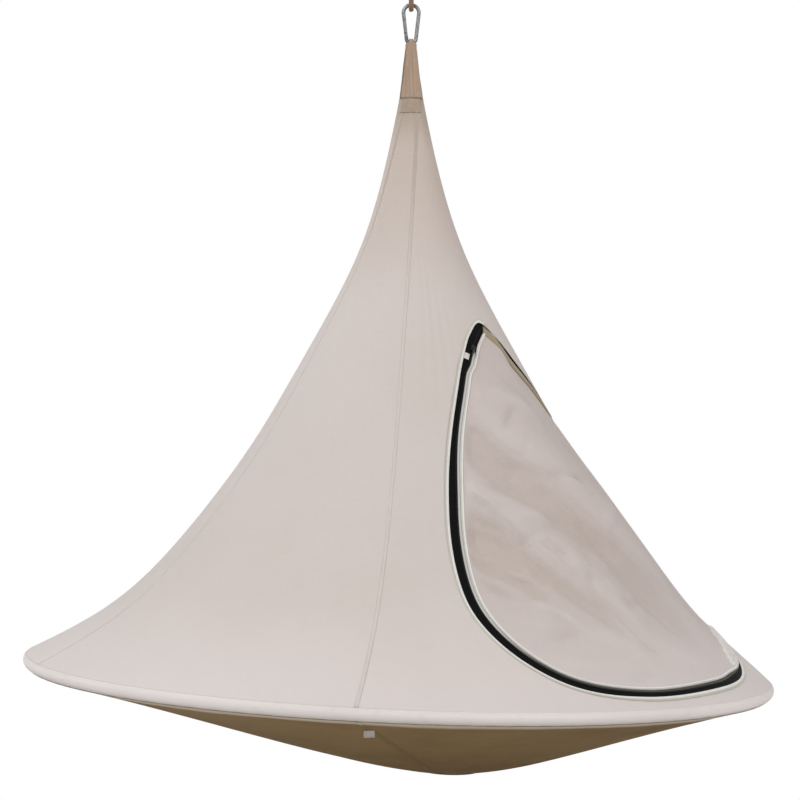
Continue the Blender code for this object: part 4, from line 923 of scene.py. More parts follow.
seam_width, fell_thickness = 0.0085, 0.0009
seam_pale, seam_thread = shade(0.635, 0.575, 0.545), shade(0.66, 0.62, 0.57)
seam_ridge = seam_finish("seam_felled", seam_pale, seam_thread, seam_width)


def low_ridge(t, height):
    """A flat-topped ridge across a strip, whose sides lie just under the cloth."""
    return height * (1 - np.abs(2 * t - 1) ** 5) - 0.0001


def beside_seam(seam, t, width, drop):
    """Azimuths across a strip that follows a seam: the seam's turn plus a share t of the width."""
    return seam + twist(drop) + np.degrees(width * t / shell_radius(drop))


def seam_fell(name, seam, top, bottom, rows):
    """A strip along a seam: its lift is highest in the middle and under the cloth at the sides."""
    drop = np.linspace(top, bottom, rows)[:, None]
    t = np.linspace(0, 1, 9)[None, :]
    azimuth = beside_seam(seam, t - 0.5, seam_width, drop)
    points = shell_point(azimuth, drop, canvas_lift(azimuth, drop) + low_ridge(t, 0.0011))
    spots = strip_map(t * seam_width, points)
    obj = sheet_piece(name, points, spots, shell_normal(azimuth, drop), fell_thickness)
    dress(obj, seam_ridge, "tent", "shell_canvas")


seam_names = ["front", "right", "right_rear", "left_rear", "left"]
under_patch = shell_top + patch_height * 0.9
for seam_name, seam in zip(seam_names, seam_azimuths):
    seam_fell(f"{seam_name}_seam_fell", seam, under_patch, landing_drop, 220)
print("seams:", len(seam_names))

# %% [markdown]
# Inside, a webbing is sewn over each seam. It carries the load from the hoop to the
# strap, so it is heavier than the canvas and has a ribbed weave.


# %% Seam webbings
webbing_rib = 0.0016


def webbing_finish(name, pale, dark, gather=0.0):
    """Ribs across with painted shade between them, thread rows along; gather adds long soft folds
    with painted shade in their hollows and a painted shadow along one edge.
    """
    finish = Finish(name, Sheen_Weight=0.10, Specular_IOR_Level=0.25)
    across, along = finish.across_along()
    weave = along.ridges(webbing_rib) * across.ridges(webbing_rib * 0.7)
    grain = finish.stretched(across, along, 500.0, 14.0, 3.0)
    spots = finish.noise(finish.place(), 60.0, 3.0)
    finish.tone = finish.mix(finish.soft_step(grain, 0.36, 0.66), pale, dark)
    # Painted shade between the ribs.
    finish.coat((1.0 - weave) * 0.22, shade(0.14, 0.10, 0.07))
    finish.coat(finish.soft_step(spots, 0.62, 0.8) * 0.15, shade(0.60, 0.52, 0.44))
    relief = finish.bump(weave, 0.0003, 0.6)
    if gather:
        folds = finish.stretched(across, along, 260.0, 5.0, 3.0)
        # Painted shade in the hollows of the gathers.
        finish.coat(finish.soft_step(folds, 0.55, 0.40) * 0.30, shade(0.24, 0.165, 0.11))
        # A painted shadow along the strap's left edge.
        finish.coat(finish.soft_step(across, 0.0032, 0.0010) * 0.7, shade(0.10, 0.07, 0.05))
        relief = finish.bump(folds, gather, 0.9, relief)
    return finish.done(0.78 + 0.16 * grain, relief)


web_pale, web_dark = shade(0.52, 0.45, 0.38), shade(0.42, 0.35, 0.28)
inner_webbing = webbing_finish("seam_webbing_ribbed", web_pale, web_dark)
seam_web_width = 0.020
seam_web_top = 0.26
seam_web_end = 0.014


def seam_webbing(node, seam):
    """A flat strip under the shell's inner face, from below the neck to the hoop."""
    drop = np.linspace(seam_web_top, landing_drop - seam_web_end, 120)[:, None]
    t = np.linspace(-0.5, 0.5, 7)[None, :]
    azimuth = beside_seam(seam, t, seam_web_width, drop)
    points = shell_point(azimuth, drop, canvas_lift(azimuth, drop) - cloth - gap)
    spots = strip_map((t + 0.5) * seam_web_width, points)
    obj = sheet_piece(f"{node}_ribbed", points, spots, shell_normal(azimuth, drop), webbing)
    dress(obj, inner_webbing, "tent", "strap_webbing", node)


for seam_name, seam in zip(seam_names, seam_azimuths):
    seam_webbing(f"{seam_name}_seam_webbing", seam)
print("webbings inside the seams")

# %% [markdown]
# ## Hoop and sleeve
# The hoop is five curved aluminium tubes that plug into each other. The cloth sleeve
# round them is a tube that is open on its inner side, so that the tubes can be fed in.
# Both are rings: a small circle carried round a large, slightly tilted one.


# %% Ring surfaces
def hoop_point(azimuth, angle, radius):
    """A point round the hoop: out and up from its centre line by a radius at an angle."""
    out, up = radius * np.cos(np.radians(angle)), radius * np.sin(np.radians(angle))
    turn, reach = np.radians(azimuth), hoop_radius + out
    x = hoop_shift + reach * np.sin(turn)
    return together(x, -reach * np.cos(turn), hoop_z + up - lean(reach, azimuth))


stations_fine = np.linspace(seam_azimuths[0], seam_azimuths[-1], 480, endpoint=False)[None, :]
sleeve_angles = np.linspace(landing_angle, landing_angle - 216, 34)[:, None]


def rim_sleeve():
    """The sleeve's skin, with small puckers close to the seam that joins it to the shell."""
    wave = pucker(stations_fine)
    near_seam = bell(sleeve_angles, landing_angle - 16, 14)
    low_wave = np.sin(stations_fine * 1.7 + 2) * bell(sleeve_angles, -60, 22)
    radius = sleeve_radius + 0.00035 * wave * near_seam + 0.0003 * low_wave
    points = hoop_point(stations_fine, sleeve_angles, radius)
    turned_metres = np.radians(landing_angle - sleeve_angles) * sleeve_radius
    round_metres = np.radians(np.r_[stations_fine[0], seam_azimuths[-1]])[None, :] * landing_radius
    spots = together(round_metres, turned_metres)
    away = points - hoop_point(stations_fine, sleeve_angles, 0.0)
    obj = sheet_piece("rim_sleeve_canvas", points, spots, away, cloth, ring=True)
    dress(obj, sleeve_canvas, "tent", "shell_canvas", "rim_sleeve")
    declare_sheet(points)


def sleeve_finish():
    """Shell canvas with sewn rows near its edges, painted brown shade towards its underside."""
    finish = Finish("sleeve_canvas", Sheen_Weight=0.12, Specular_IOR_Level=0.25)
    around, down = finish.across_along()
    place = finish.place()
    weave = finish.plain_weave(around, down, canvas_pitch)
    sewn = finish.stitches(around, down, (0.0022, 0.0050, 0.0330), 0.0038)
    clouds, spots = finish.noise(place, 2.2, 3.0), finish.noise(place, 30.0, 4.0, 0.6)
    pale, warm = shade(0.83, 0.770, 0.750), shade(0.79, 0.725, 0.70)
    finish.tone = finish.mix(finish.soft_step(clouds, 0.35, 0.7), pale, warm)
    finish.coat(finish.soft_step(spots, 0.56, 0.8) * 0.16, shade(0.42, 0.35, 0.28))
    # Painted shade: browner and darker towards the sleeve's underside, where less light reaches.
    finish.coat(finish.soft_step(down, 0.019, 0.042) * 0.74, shade(0.36, 0.28, 0.19))
    finish.coat((1.0 - weave) * 0.10, thread_shadow)
    finish.coat(sewn * 0.6, shade(0.74, 0.71, 0.66))
    return finish.done(0.80 + 0.12 * spots, finish.sewn_relief(sewn, weave))


sleeve_canvas = sleeve_finish()
rim_sleeve()


# %% Aluminium tubes
def aluminium_finish():
    """Drawn aluminium: fine lines along the tube, a dull grey film and small dents."""
    finish = Finish("hoop_aluminium_drawn", Metallic=1.0)
    around, along = finish.across_along()
    lines = finish.stretched(around, along, 2600.0, 6.0, 3.0)
    film = finish.noise(finish.place(), 28.0, 3.0)
    finish.tone = finish.mix(film, shade(0.70, 0.71, 0.72), shade(0.56, 0.57, 0.58))
    finish.coat(lines * 0.2, shade(0.82, 0.83, 0.84))
    return finish.done(0.26 + 0.22 * film, finish.bump(lines, 0.00005, 0.4))


hoop_metal = aluminium_finish()
seam_steps = [18, 8, 8, 8, 8]
spans = zip(seam_azimuths, seam_azimuths[1:], seam_steps)
stations = np.concatenate([np.linspace(a, b, n, endpoint=False) for a, b, n in spans])
station_marks = np.r_[stations, stations + 360]
tube_count, first_joint, per_section = 5, 4, 10
joint_play, spigot_half = 0.002, 0.5
tube_rows, tube_sides = 90, 20


def hoop_tube(node, start, end, radius):
    """A pipe with a wall along part of the ring, between two station numbers."""
    station = np.linspace(start, end, tube_rows)
    azimuth = np.interp(station, np.arange(len(station_marks)), station_marks)[:, None]
    angle = np.linspace(0, 360, tube_sides, endpoint=False)[None, :]
    outer = hoop_point(azimuth, angle, radius)
    inner = hoop_point(azimuth, angle, radius - hoop_tube_wall)
    points = np.concatenate([outer, inner[::-1]])
    along = row_metres(outer, 0)[:, :1]
    along = np.concatenate([along, along[::-1]])
    around = np.radians(np.r_[angle[0], 360.0])[None, :] * radius
    spots = together(around, along)
    spots = np.concatenate([spots, spots[:1]])
    number = numbered(len(points), tube_sides, ring=True, loop=True)
    centre = hoop_point(azimuth, angle, 0.0)
    away = np.concatenate([outer - centre, (centre - inner)[::-1]])
    obj = mesh_piece(f"{node}_drawn", points, corners_of(number), corners_of(spots), away)
    obj.data.set_sharp_from_angle(angle=math.radians(40))
    dress(obj, hoop_metal, "tent", "hoop_aluminium", node)


plug_radius = hoop_tube_radius - hoop_tube_wall - gap
for k in range(tube_count):
    start = first_joint + k * per_section
    end = start + per_section
    hoop_tube(f"hoop_section_{k + 1}", start + joint_play, end - joint_play, hoop_tube_radius)
    hoop_tube(f"hoop_spigot_{k + 1}", start - spigot_half, start + spigot_half, plug_radius)
print("hoop tubes and spigots:", tube_count)

# %% [markdown]
# ## Floor
# The floor is a shallow cone whose low tip lies to the right of the middle. It is sewn
# from panels under the same seams. Its cloth is a coated brown groundsheet, slightly shiny
# and a little slack, so that it shows broad soft ripples. Its brown is painted darker than
# the shell and than its own colour, as shade under the tent, and a band of painted light
# lies beside the rim.

# %% Floor surface
tip_offset = 0.1042
tip_drop = 0.2514
tip_roundness = 0.47
floor_tuck = 0.39
tip_hole = 0.035
tip_patch_reach = 0.075
floor_landing_angle = -78.0


def floor_point(azimuth, share, lower=0.0):
    """Tip to rim: a hyperbola of the share, plus a tuck that is highest half way out."""
    start, turn = sleeve_radius + gap + cloth, np.radians(azimuth)
    radius = hoop_radius + start * math.cos(math.radians(floor_landing_angle))
    rim_x, rim_y = hoop_shift + radius * np.sin(turn), -radius * np.cos(turn)
    rim_z = hoop_z + start * math.sin(math.radians(floor_landing_angle)) - lean(radius, azimuth)
    tip_z = hoop_z - tip_drop
    rounded = np.sqrt(share**2 + tip_roundness**2) - tip_roundness
    whole = math.sqrt(1 + tip_roundness**2) - tip_roundness
    fall = rounded / whole + floor_tuck * share * (1 - share)
    x = tip_offset * (1 - share) + rim_x * share
    return together(x, rim_y * share, tip_z + (rim_z - tip_z) * fall - lower)


def floor_ripple(azimuth, share):
    """Metres down: broad ripples between the seams, none at the rim and the tip."""
    inside = np.clip((1 - share) / 0.10, 0, 1) * np.clip(share / 0.3, 0, 1)
    broad = np.sin(np.radians(azimuth * 9 + 30)) * 0.0014
    broad = broad + np.sin(np.radians(azimuth * 23)) * 0.0007
    near_rim = bell(share, 0.93, 0.06) * np.sin(np.radians(azimuth * 61 + 10)) * 0.0005
    return (broad + near_rim) * inside


def floor_finish(name, pale, dark):
    """Coated weave: a band of painted light beside the rim, scuffs, dust in broad patches and
    painted shade in the weave's gaps.
    """
    finish = Finish(name, Specular_IOR_Level=0.15)
    across, along = finish.across_along()
    place = finish.place()
    weave = finish.plain_weave(across, along, 0.0014)
    dust, scuff = finish.noise(place, 3.0, 4.0, 0.6), finish.noise(place, 34.0, 4.0, 0.65, 0.5)
    finish.tone = finish.mix(finish.soft_step(dust, 0.35, 0.72), pale, dark)
    # Painted light: a paler band beside the rim, where light reaches under the sleeve.
    near_rim = 1.0 - finish.soft_step(along, 0.014, 0.050)
    finish.coat(near_rim * 0.80, shade(0.68, 0.585, 0.47))
    finish.coat(finish.soft_step(scuff, 0.55, 0.75) * 0.22, shade(0.30, 0.22, 0.13))
    # Painted shade in the weave's gaps.
    finish.coat((1.0 - weave) * 0.2, shade(0.06, 0.035, 0.015))
    soft = finish.bump(finish.noise(place, 12.0, 3.0), 0.002, 0.3, finish.bump(weave, 0.0003, 0.5))
    return finish.done(0.58 + 0.3 * scuff, soft)


# The groundsheet's brown, painted darker than its own colour as shade under the tent.
floor_pale, floor_dark = shade(0.245, 0.158, 0.067), shade(0.192, 0.119, 0.048)
ground_cloth = floor_finish("floor_cloth_coated", floor_pale, floor_dark)
floor_names = ["door_floor", "right_rear_floor", "rear_floor", "left_rear_floor", "front_floor"]
for k, node in enumerate(floor_names):
    columns = 97 if k == 0 else 55
    azimuth = np.linspace(seam_azimuths[k], seam_azimuths[k + 1], columns)[None, :]
    share = (1 - (1 - tip_hole) * np.linspace(0, 1, 70) ** 1.1)[:, None]
    points = floor_point(azimuth, share, floor_ripple(azimuth, share))
    across = np.radians(azimuth - azimuth.mean()) * share * hoop_radius
    spots = together(across, (1 - share) * hoop_radius)
    obj = sheet_piece(f"{node}_coated", points, spots, (0, 0, -1), cloth)
    dress(obj, ground_cloth, "tent", "floor_cloth", node)
    declare_sheet(points)

# %% Floor seams and the patch at the tip
# The same brown, darker with painted shade, for the floor's seams.
fell_pale, fell_dark = shade(0.225, 0.145, 0.062), shade(0.178, 0.110, 0.045)
floor_seam = floor_finish("floor_seam_felled", fell_pale, fell_dark)
# The tip patch's browns are darker with painted shade as well.
tip_cloth = webbing_finish("tip_patch_ribbed", shade(0.26, 0.20, 0.12), shade(0.20, 0.15, 0.09))
for seam_name, seam in zip(seam_names, seam_azimuths):
    share = np.linspace(0.995, 0.05, 120)[:, None]
    t = np.linspace(0, 1, 7)[None, :]
    azimuth = seam + np.degrees(seam_width * (t - 0.5) / (hoop_radius * share))
    lower = floor_ripple(azimuth, share) + low_ridge(t, 0.0010)
    points = floor_point(azimuth, share, lower)
    spots = strip_map(t * seam_width, points)
    obj = sheet_piece(f"{seam_name}_floor_fell", points, spots, (0, 0, -1), fell_thickness)
    dress(obj, floor_seam, "tent", "floor_cloth")

tip_rows, tip_sides = 22, 72
azimuth = np.linspace(0, 360, tip_sides, endpoint=False)[None, :]
share = np.linspace(tip_patch_reach, 0.004, tip_rows)[:, None]
points = floor_point(azimuth, share, 2 * gap + webbing)
turn = np.radians(np.r_[azimuth[0], 360.0])[None, :]
spots = together(share * hoop_radius * np.cos(turn), share * hoop_radius * np.sin(turn))
number = numbered(tip_rows, tip_sides, ring=True)
cap = (number[-1, :-1], spots[-1, :-1])
corners, maps = corners_of(number), corners_of(spots)
obj = mesh_piece("floor_tip_patch_ribbed", points, corners, maps, (0, 0, -1), [cap])
wall(obj, webbing)
dress(obj, tip_cloth, "tent", "strap_webbing", "floor_tip_patch")
print("floor panels:", len(floor_names))

# %% [markdown]
# ## Top strap
# All gores are gathered into one strap that folds over the hook's foot. The strap is a
# tan webbing, three millimetres thick, with long vertical gathers. Its rows are carried
# down the front, over the foot and down the back, with a smooth curve through them.


# %% Strap rows
strap_spread_start = rod_radius + gap + strap_thickness + 0.0008
strap_spread_end = strap_spread_start + 0.0045


def smooth_rows(rows, per_step):
    """More rows between the given ones, on a natural curve through each column."""
    rows = np.asarray(rows, float)
    metres = np.r_[0, np.cumsum(np.linalg.norm(np.diff(rows, axis=0), axis=-1).mean(axis=-1))]
    last = len(rows) - 1
    fine = np.interp(np.linspace(0, last, last * per_step + 1), np.arange(len(rows)), metres)
    flat = rows.reshape(len(rows), -1)
    columns = [natural_spline(metres, flat[:, k])(fine) for k in range(flat.shape[1])]
    return np.stack(columns, axis=-1).reshape(len(fine), *rows.shape[1:])


def foot_rise(x):
    """How far the foot's round corners lift the strap: a circle beyond the foot's flat part."""
    past = np.clip(np.abs(x) - hook_foot_flat / 2, 0, hook_foot_radius * 0.5)
    return 2 * (hook_foot_radius - np.sqrt(hook_foot_radius**2 - past**2))


def strap_row(drop, side, spread):
    """One row across a ply: narrow beside the foot, then wider and rounder with the drop."""
    lower = np.clip((drop - strap_crown_start) / (shell_top - strap_crown_start), 0, 1)
    clear = rod_radius + gap
    depth = clear + (float(shell_radius(shell_top)) * neck_flatness - clear) * lower
    wide = min(strap_top_half_width + strap_flare * drop, float(shell_radius(drop)) * 0.93)
    opened = rising(drop, strap_spread_start, strap_spread_end)
    x = (strap_fold_half_width + (wide - strap_fold_half_width) * opened) * spread
    y = side * depth * np.sqrt(1 - 0.72 * lower * spread**2)
    return together(x, y, tent_top_z - drop + foot_rise(x) * (1 - opened))


def strap_fold(turn, spread):
    """One row over the hook's foot: half a turn round the rod, rising at its round corners."""
    x = strap_fold_half_width * spread
    reach = rod_radius + 1.5 * gap
    return together(x, -reach * math.cos(turn), foot_z + foot_rise(x) + reach * math.sin(turn))


def top_strap():
    """The folded strap: its rows joined by a smooth curve and raised in long gathers."""
    spread = np.linspace(-1, 1, 61)
    drops = [shell_top - gap, 0.120, 0.100, 0.080, 0.060, 0.042, 0.030, 0.020]
    drops += [strap_spread_end, (strap_spread_end + strap_spread_start) / 2, strap_spread_start]
    front = [strap_row(drop, -1, spread) for drop in drops]
    fold = [strap_fold(math.pi * k / 10, spread) for k in range(11)]
    back = [strap_row(drop, 1, spread) for drop in drops[::-1]]
    points = smooth_rows(front + fold + back, 6)
    along = row_metres(points, 0)
    down = (tent_top_z - points[..., 2]) / shell_top
    gather = 0.5 + 0.5 * np.cos(spread * 15 + 1.2 * np.sin(down * 4) + 0.4)
    gather = gather * 0.0013 * np.clip(down * 2.2, 0.12, 1) * np.clip((1 - down) * 12, 0, 1)
    away = np.cross(np.gradient(points, axis=1), np.gradient(points, axis=0))
    away = away / np.linalg.norm(away, axis=-1, keepdims=True)
    middle = np.array([0, 0, foot_z])
    if float(((points - middle) * away)[0, 30, 1]) < 0:
        away = -away
    points = points + away * gather[..., None]
    spots = together((spread + 1)[None, :] * 0.02, along)
    obj = sheet_piece("top_strap_gathered", points, spots, away, strap_thickness)
    obj.modifiers["wall"].offset = 1.0
    dress(obj, strap_tan, "tent", "strap_webbing", "top_strap")


strap_pale, strap_dark = shade(0.500, 0.365, 0.280), shade(0.430, 0.305, 0.225)
strap_tan = webbing_finish("top_strap_tan", strap_pale, strap_dark, gather=0.0014)
top_strap()


# %% Patches at the neck
def patch_finish(name, pale, dark, wide, high):
    """Folded canvas, sewn down with a row of stitches along each side."""
    finish = Finish(name, Sheen_Weight=0.1, Specular_IOR_Level=0.25)
    across, down = finish.across_along()
    weave = finish.plain_weave(across, down, canvas_pitch)
    sewn = finish.stitches(across, down, (0.0025, high - 0.0025), 0.003)
    sewn = sewn.most(finish.stitches(down, across, (0.0025, wide - 0.0025), 0.003))
    worn = finish.noise(finish.place(), 90.0, 3.0, 0.6)
    finish.tone = finish.mix(finish.soft_step(worn, 0.35, 0.7), pale, dark)
    # Painted shade in the weave's gaps.
    finish.coat((1.0 - weave) * 0.15, shade(0.2, 0.16, 0.12))
    finish.coat(sewn * 0.8, shade(0.60, 0.55, 0.48))
    return finish.done(0.78 + 0.16 * worn, finish.sewn_relief(sewn, weave, 0.0006))


neck_radius = float(shell_radius(shell_top + patch_height / 2))
patch_wide = math.radians(2 * patch_half_angle) * neck_radius
patch_pale, patch_dark = shade(0.41, 0.320, 0.255), shade(0.36, 0.275, 0.215)
neck_patch = patch_finish("neck_patch_sewn", patch_pale, patch_dark, patch_wide, patch_height)
for node, turn in (("neck_patch_front", 0.0), ("neck_patch_back", 180.0)):
    t, s = np.linspace(-1, 1, 41)[None, :], np.linspace(0, 1, 31)[:, None]
    drop = shell_top + gap + (patch_height - gap) * s
    azimuth = turn - twist(shell_top) + patch_half_angle * t + twist(drop)
    border = np.maximum(np.abs(t), np.abs(2 * s - 1))
    swell = 0.0022 - 0.0008 * border**10 + 0.0002 * np.cos(t * 14 + s * 2)
    points = shell_point(azimuth, drop, canvas_lift(azimuth, drop) + swell)
    spots = together((t + 1) * patch_wide / 2, s * patch_height)
    obj = sheet_piece(f"{node}_sewn", points, spots, shell_normal(azimuth, drop), webbing)
    dress(obj, neck_patch, "tent", "strap_webbing", node)
print(f"patches {patch_wide * 1000:.0f} mm wide")

# %% [markdown]
# ## Rope strop
# The hook hangs in a strop: twelve-millimetre rope laid from three strands, tied into a
# loop. It is taut, so it runs straight between the ceiling eye and the hook's bow and
# half round each of them. Its ends meet in a knot, above the part that is in view. The
# strands show as a three-lobed section that turns as it runs along the rope.

# %% Route of the rope
eye_rod_radius = 0.004
eye_foot_z = -0.0563
rope_radius = 0.006
rope_lay = 0.036
knot_length = 0.024
knot_z = -hook_drop + 0.041
over_eye = eye_rod_radius + rope_radius + gap
under_bow = rod_radius + rope_radius + gap
half_turn = np.linspace(0, math.pi, 8)
knot_half = knot_length / 2 + gap
back_shift, back_fall = under_bow - over_eye, -hook_drop - eye_foot_z
back = [(0, over_eye + back_shift * s, eye_foot_z + back_fall * s) for s in (0.33, 0.67)]
round_eye = [(0, -over_eye * math.cos(a), eye_foot_z + over_eye * math.sin(a)) for a in half_turn]
round_bow = [(0, under_bow * math.cos(a), -hook_drop - under_bow * math.sin(a)) for a in half_turn]
rope_route = np.array(
    [
        (0, -under_bow - 0.0005, knot_z + knot_half),
        (0, -over_eye - 0.0003, (knot_z + knot_half + eye_foot_z) / 2),
        *round_eye,
        *back,
        *round_bow,
        (0, -under_bow, (-hook_drop + knot_z - knot_half) / 2),
        (0, -under_bow - 0.0005, knot_z - knot_half),
    ]
)
rope_line = smooth_rows(rope_route[:, None, :], 12)[:, 0]


# %% Laid rope and its finish
def path_frames(line, reference):
    """At each point of a line: the direction along it, and two directions square to it."""
    along = np.gradient(line, axis=0)
    along /= np.linalg.norm(along, axis=1, keepdims=True)
    side = np.broadcast_to(np.asarray(reference, float), along.shape)
    side = side - along * (side * along).sum(axis=1, keepdims=True)
    side /= np.linalg.norm(side, axis=1, keepdims=True)
    return along, side, np.cross(along, side)


def laid_tube(line, radius, lay, reference, strands=3, depth=0.24, sides=30):
    """A section of round lobes, one a strand, that makes a full turn in each lay length."""
    metres = row_metres(line[:, None, :], 0)
    angle = np.linspace(0, 2 * math.pi, sides, endpoint=False)[None, :]
    phase = strands * (angle - 2 * math.pi * metres / lay) / 2
    reach = radius * (1 - depth * (1 - np.abs(np.cos(phase))) ** 1.4)
    _, side, other = path_frames(line, reference)
    points = line[:, None] + side[:, None] * (reach * np.cos(angle))[..., None]
    points = points + other[:, None] * (reach * np.sin(angle))[..., None]
    around = np.linspace(0, 2 * math.pi * radius, sides + 1)[None, :]
    return points, together(around, metres)


loop_bottom_from, loop_bottom_to = -0.158, -0.141


def rope_finish():
    """Twisted brown fibres: fine yarns, pale hairs, painted shade in the creases between strands,
    darker at the bottom of the loop under the hook's bow.
    """
    finish = Finish("rope_fibre_laid", Sheen_Weight=0.25, Specular_IOR_Level=0.2)
    around, along = finish.across_along()
    yarns = (around * 3400.0 + along * 1500.0).sine() * 0.5 + 0.5
    hairs = finish.stretched(around, along, 1500.0, 220.0, 3.0)
    lobes = (around * (3 / (2 * rope_radius)) - along * (3 * math.pi / rope_lay)).sine().size()
    place = finish.place()
    mottle = finish.noise(place, 120.0, 3.0)
    dark, pale = shade(0.165, 0.088, 0.045), shade(0.36, 0.22, 0.125)
    finish.tone = finish.mix(yarns * 0.55 + mottle * 0.3, dark, pale)
    finish.coat(finish.soft_step(hairs, 0.60, 0.76) * 0.5, shade(0.62, 0.47, 0.32))
    # Darker, almost black, at the bottom of the loop under the hook's bow.
    loop_bottom = 1.0 - finish.soft_step(finish.height(place), loop_bottom_from, loop_bottom_to)
    finish.coat(loop_bottom * 0.75, shade(0.060, 0.028, 0.015))
    # Painted shade in the creases between the strands.
    finish.coat((1.0 - lobes) * 0.30, shade(0.07, 0.035, 0.02))
    return finish.done(0.82 + 0.16 * hairs, finish.bump(yarns * 0.7 + hairs * 0.4, 0.0004, 0.8))


rope_fibre = rope_finish()
rope = tube_piece("rope_strop_laid", *laid_tube(rope_line, rope_radius, rope_lay, (1, 0, 0)))
dress(rope, rope_fibre, "strop", "rope_fibre", "rope_strop")

wrap_radius, wrap_line, wrap_turns = 0.0041, 0.0073, 2.6
knot_turn = np.linspace(0, 2 * math.pi * wrap_turns, 150)
knot_y = -under_bow - 0.0025
knot_reach = knot_length / 2 - wrap_radius
wraps = together(
    wrap_line * np.sin(knot_turn),
    knot_y - wrap_line * np.cos(knot_turn),
    knot_z + np.linspace(knot_reach, -knot_reach, 150),
)
wrapped = laid_tube(wraps, wrap_radius, 0.026, (0, 0, 1), depth=0.2, sides=18)
knot = tube_piece("rope_knot_wraps", *wrapped)
dress(knot, rope_fibre, "strop", "rope_fibre", "rope_knot")

core_z = knot_z + np.linspace(knot_length / 2 + 0.001, -knot_length / 2 - 0.001, 12)
core_line = together(0.0, -under_bow - 0.0012, core_z)
core = laid_tube(core_line, rope_radius * 0.93, rope_lay, (1, 0, 0))
knot_core = tube_piece("rope_knot_core", *core)
dress(knot_core, rope_fibre, "strop", "rope_fibre")

# %% [markdown]
# ## Tab under the rim
# A short folded tab of white tape is sewn under the floor's edge, beside the front seam.

# %% Rim tab
tab_width, tab_height, tab_thickness = 0.023, 0.0145, 0.0026
tab_azimuth, tab_inset = -5.7, 0.104
tab_root = floor_point(tab_azimuth, 1 - tab_inset / hoop_radius)
tab_turn = math.radians(tab_azimuth)
tab_side = np.array([math.cos(tab_turn), math.sin(tab_turn), 0])
tab_inward = np.array([-math.sin(tab_turn), math.cos(tab_turn), 0])
half = tab_thickness / 2
fold = np.linspace(math.pi, 2 * math.pi, 9)
section = np.concatenate(
    [
        together(half * 0.75, np.linspace(-tab_height + half, 0, 9)),
        together(-half * 0.75, np.linspace(0, -tab_height + half, 9)),
        together(half * np.cos(fold), -tab_height + half + half * np.sin(fold))[1:-1],
    ]
)
deep, high = section[None, :, 0], section[None, :, 1]
reach = np.linspace(-tab_width / 2, tab_width / 2, 25)[:, None]
bulge = 1 + 0.25 * np.sin(reach * 300) * np.clip(-high / tab_height, 0, 1)
wavy = high + 0.0004 * np.sin(reach * 260)
points = tab_root - np.array([0, 0, gap + fell_thickness])
points = points + reach[..., None] * tab_side + (deep * bulge)[..., None] * tab_inward
points = points + wavy[..., None] * np.array([0, 0, 1.0])
closed = np.r_[section[:, 1], section[0, 1]]
spots = together(reach + tab_width / 2, -closed[None, :])
tab_pale, tab_dark = shade(0.70, 0.68, 0.64), shade(0.62, 0.59, 0.54)
tab_cloth = patch_finish("rim_tab_tape", tab_pale, tab_dark, tab_width, tab_height)
tab = tube_piece("rim_tab_folded", points, spots, sharp=60)
dress(tab, tab_cloth, "tent", "white_binding", "rim_tab")

# %% [markdown]
# ## Doorway binding and zip
# The doorway's edge is bound with white tape. Inside it lies the black zip tape with its
# coil, and the door's own edge has a narrower tape and binding. Below the slider, along
# the foot and where it ends, the zip is rolled under, so that its bands look narrower.
# All are strips of the same kind: a section carried along the edge, at an inset and a
# lift. The door's hem is wider, coloured tan by painted shade, and hangs in a little beside
# a slit. At the door's lower right corner the cloth's edge is gathered, as four soft folds
# of white tape.

# %% Sizes of the zip and trim
binding_thickness = 0.0012
tape_width = 0.0165
tape_thickness = 0.001
closed_tape_width = 0.0097
zip_gap = 0.0030
door_tape_width = 0.0070
door_binding_width = 0.0065
hem_width = 0.024
slit_width = 0.0062
slit_depth = 0.0055
piping_start = -0.0045
zip_start = 0.0018
zip_end = 0.585
tape_end = 0.612
binding_end = 0.614
slit_start = 0.860
slit_end = 0.970
hem_start = 0.895
hem_blend = 0.05
hem_ease = 0.0009
hem_end = 0.985
slider_at = 0.030
slider_length = 0.016
raised = 2 * gap + binding_thickness
open_start = slider_at + 0.60 * slider_length / edge_length


# %% Trim finishes
def binding_finish(name, pale, shaded, width, line):
    """Ribbed tape, pale on its inner side and greyer towards its outer edge, with one sewn row."""
    finish = Finish(name, Sheen_Weight=0.15, Specular_IOR_Level=0.3)
    along, across = finish.across_along()
    ribs = along.ridges(0.0011)
    dirt = finish.noise(finish.place(), 60.0, 3.0)
    outer = 1.0 - finish.soft_step(across, width * 0.35, width * 0.55)
    sewn = finish.stitches(along, across, (line,), 0.0034)
    finish.tone = finish.mix(outer * 0.85, pale, shaded)
    finish.coat(finish.soft_step(dirt, 0.5, 0.8) * 0.25, shade(0.42, 0.40, 0.33))
    # Painted shade between the ribs.
    finish.coat((1.0 - ribs) * 0.14, shade(0.30, 0.29, 0.24))
    finish.coat(sewn * 0.55, shade(0.32, 0.30, 0.27))
    return finish.done(0.66 + 0.2 * dirt, finish.sewn_relief(sewn, ribs))


def tape_finish(name, base, thread, gloss=0.2, fade=None):
    """Herringbone tape: its ribs change slant from band to band; fade is its far part's colour."""
    finish = Finish(name, Specular_IOR_Level=gloss)
    along, across = finish.across_along()
    band = ((across / 0.0028).part() - 0.5).size()
    ribs = (along * 2600.0 + band * 9.0).sine() * 0.5 + 0.5
    dust = finish.noise(finish.place(), 45.0, 4.0, 0.6)
    finish.tone = finish.mix(ribs * 0.6, base, thread)
    if fade:
        colour, start, end = fade
        finish.coat(finish.soft_step(along, start, end), colour)
    finish.coat(finish.soft_step(dust, 0.55, 0.8) * gloss, shade(0.10, 0.095, 0.085))
    return finish.done(0.58 + 0.25 * dust, finish.bump(ribs, 0.0002, 0.6))


tooth_pitch = 0.0022


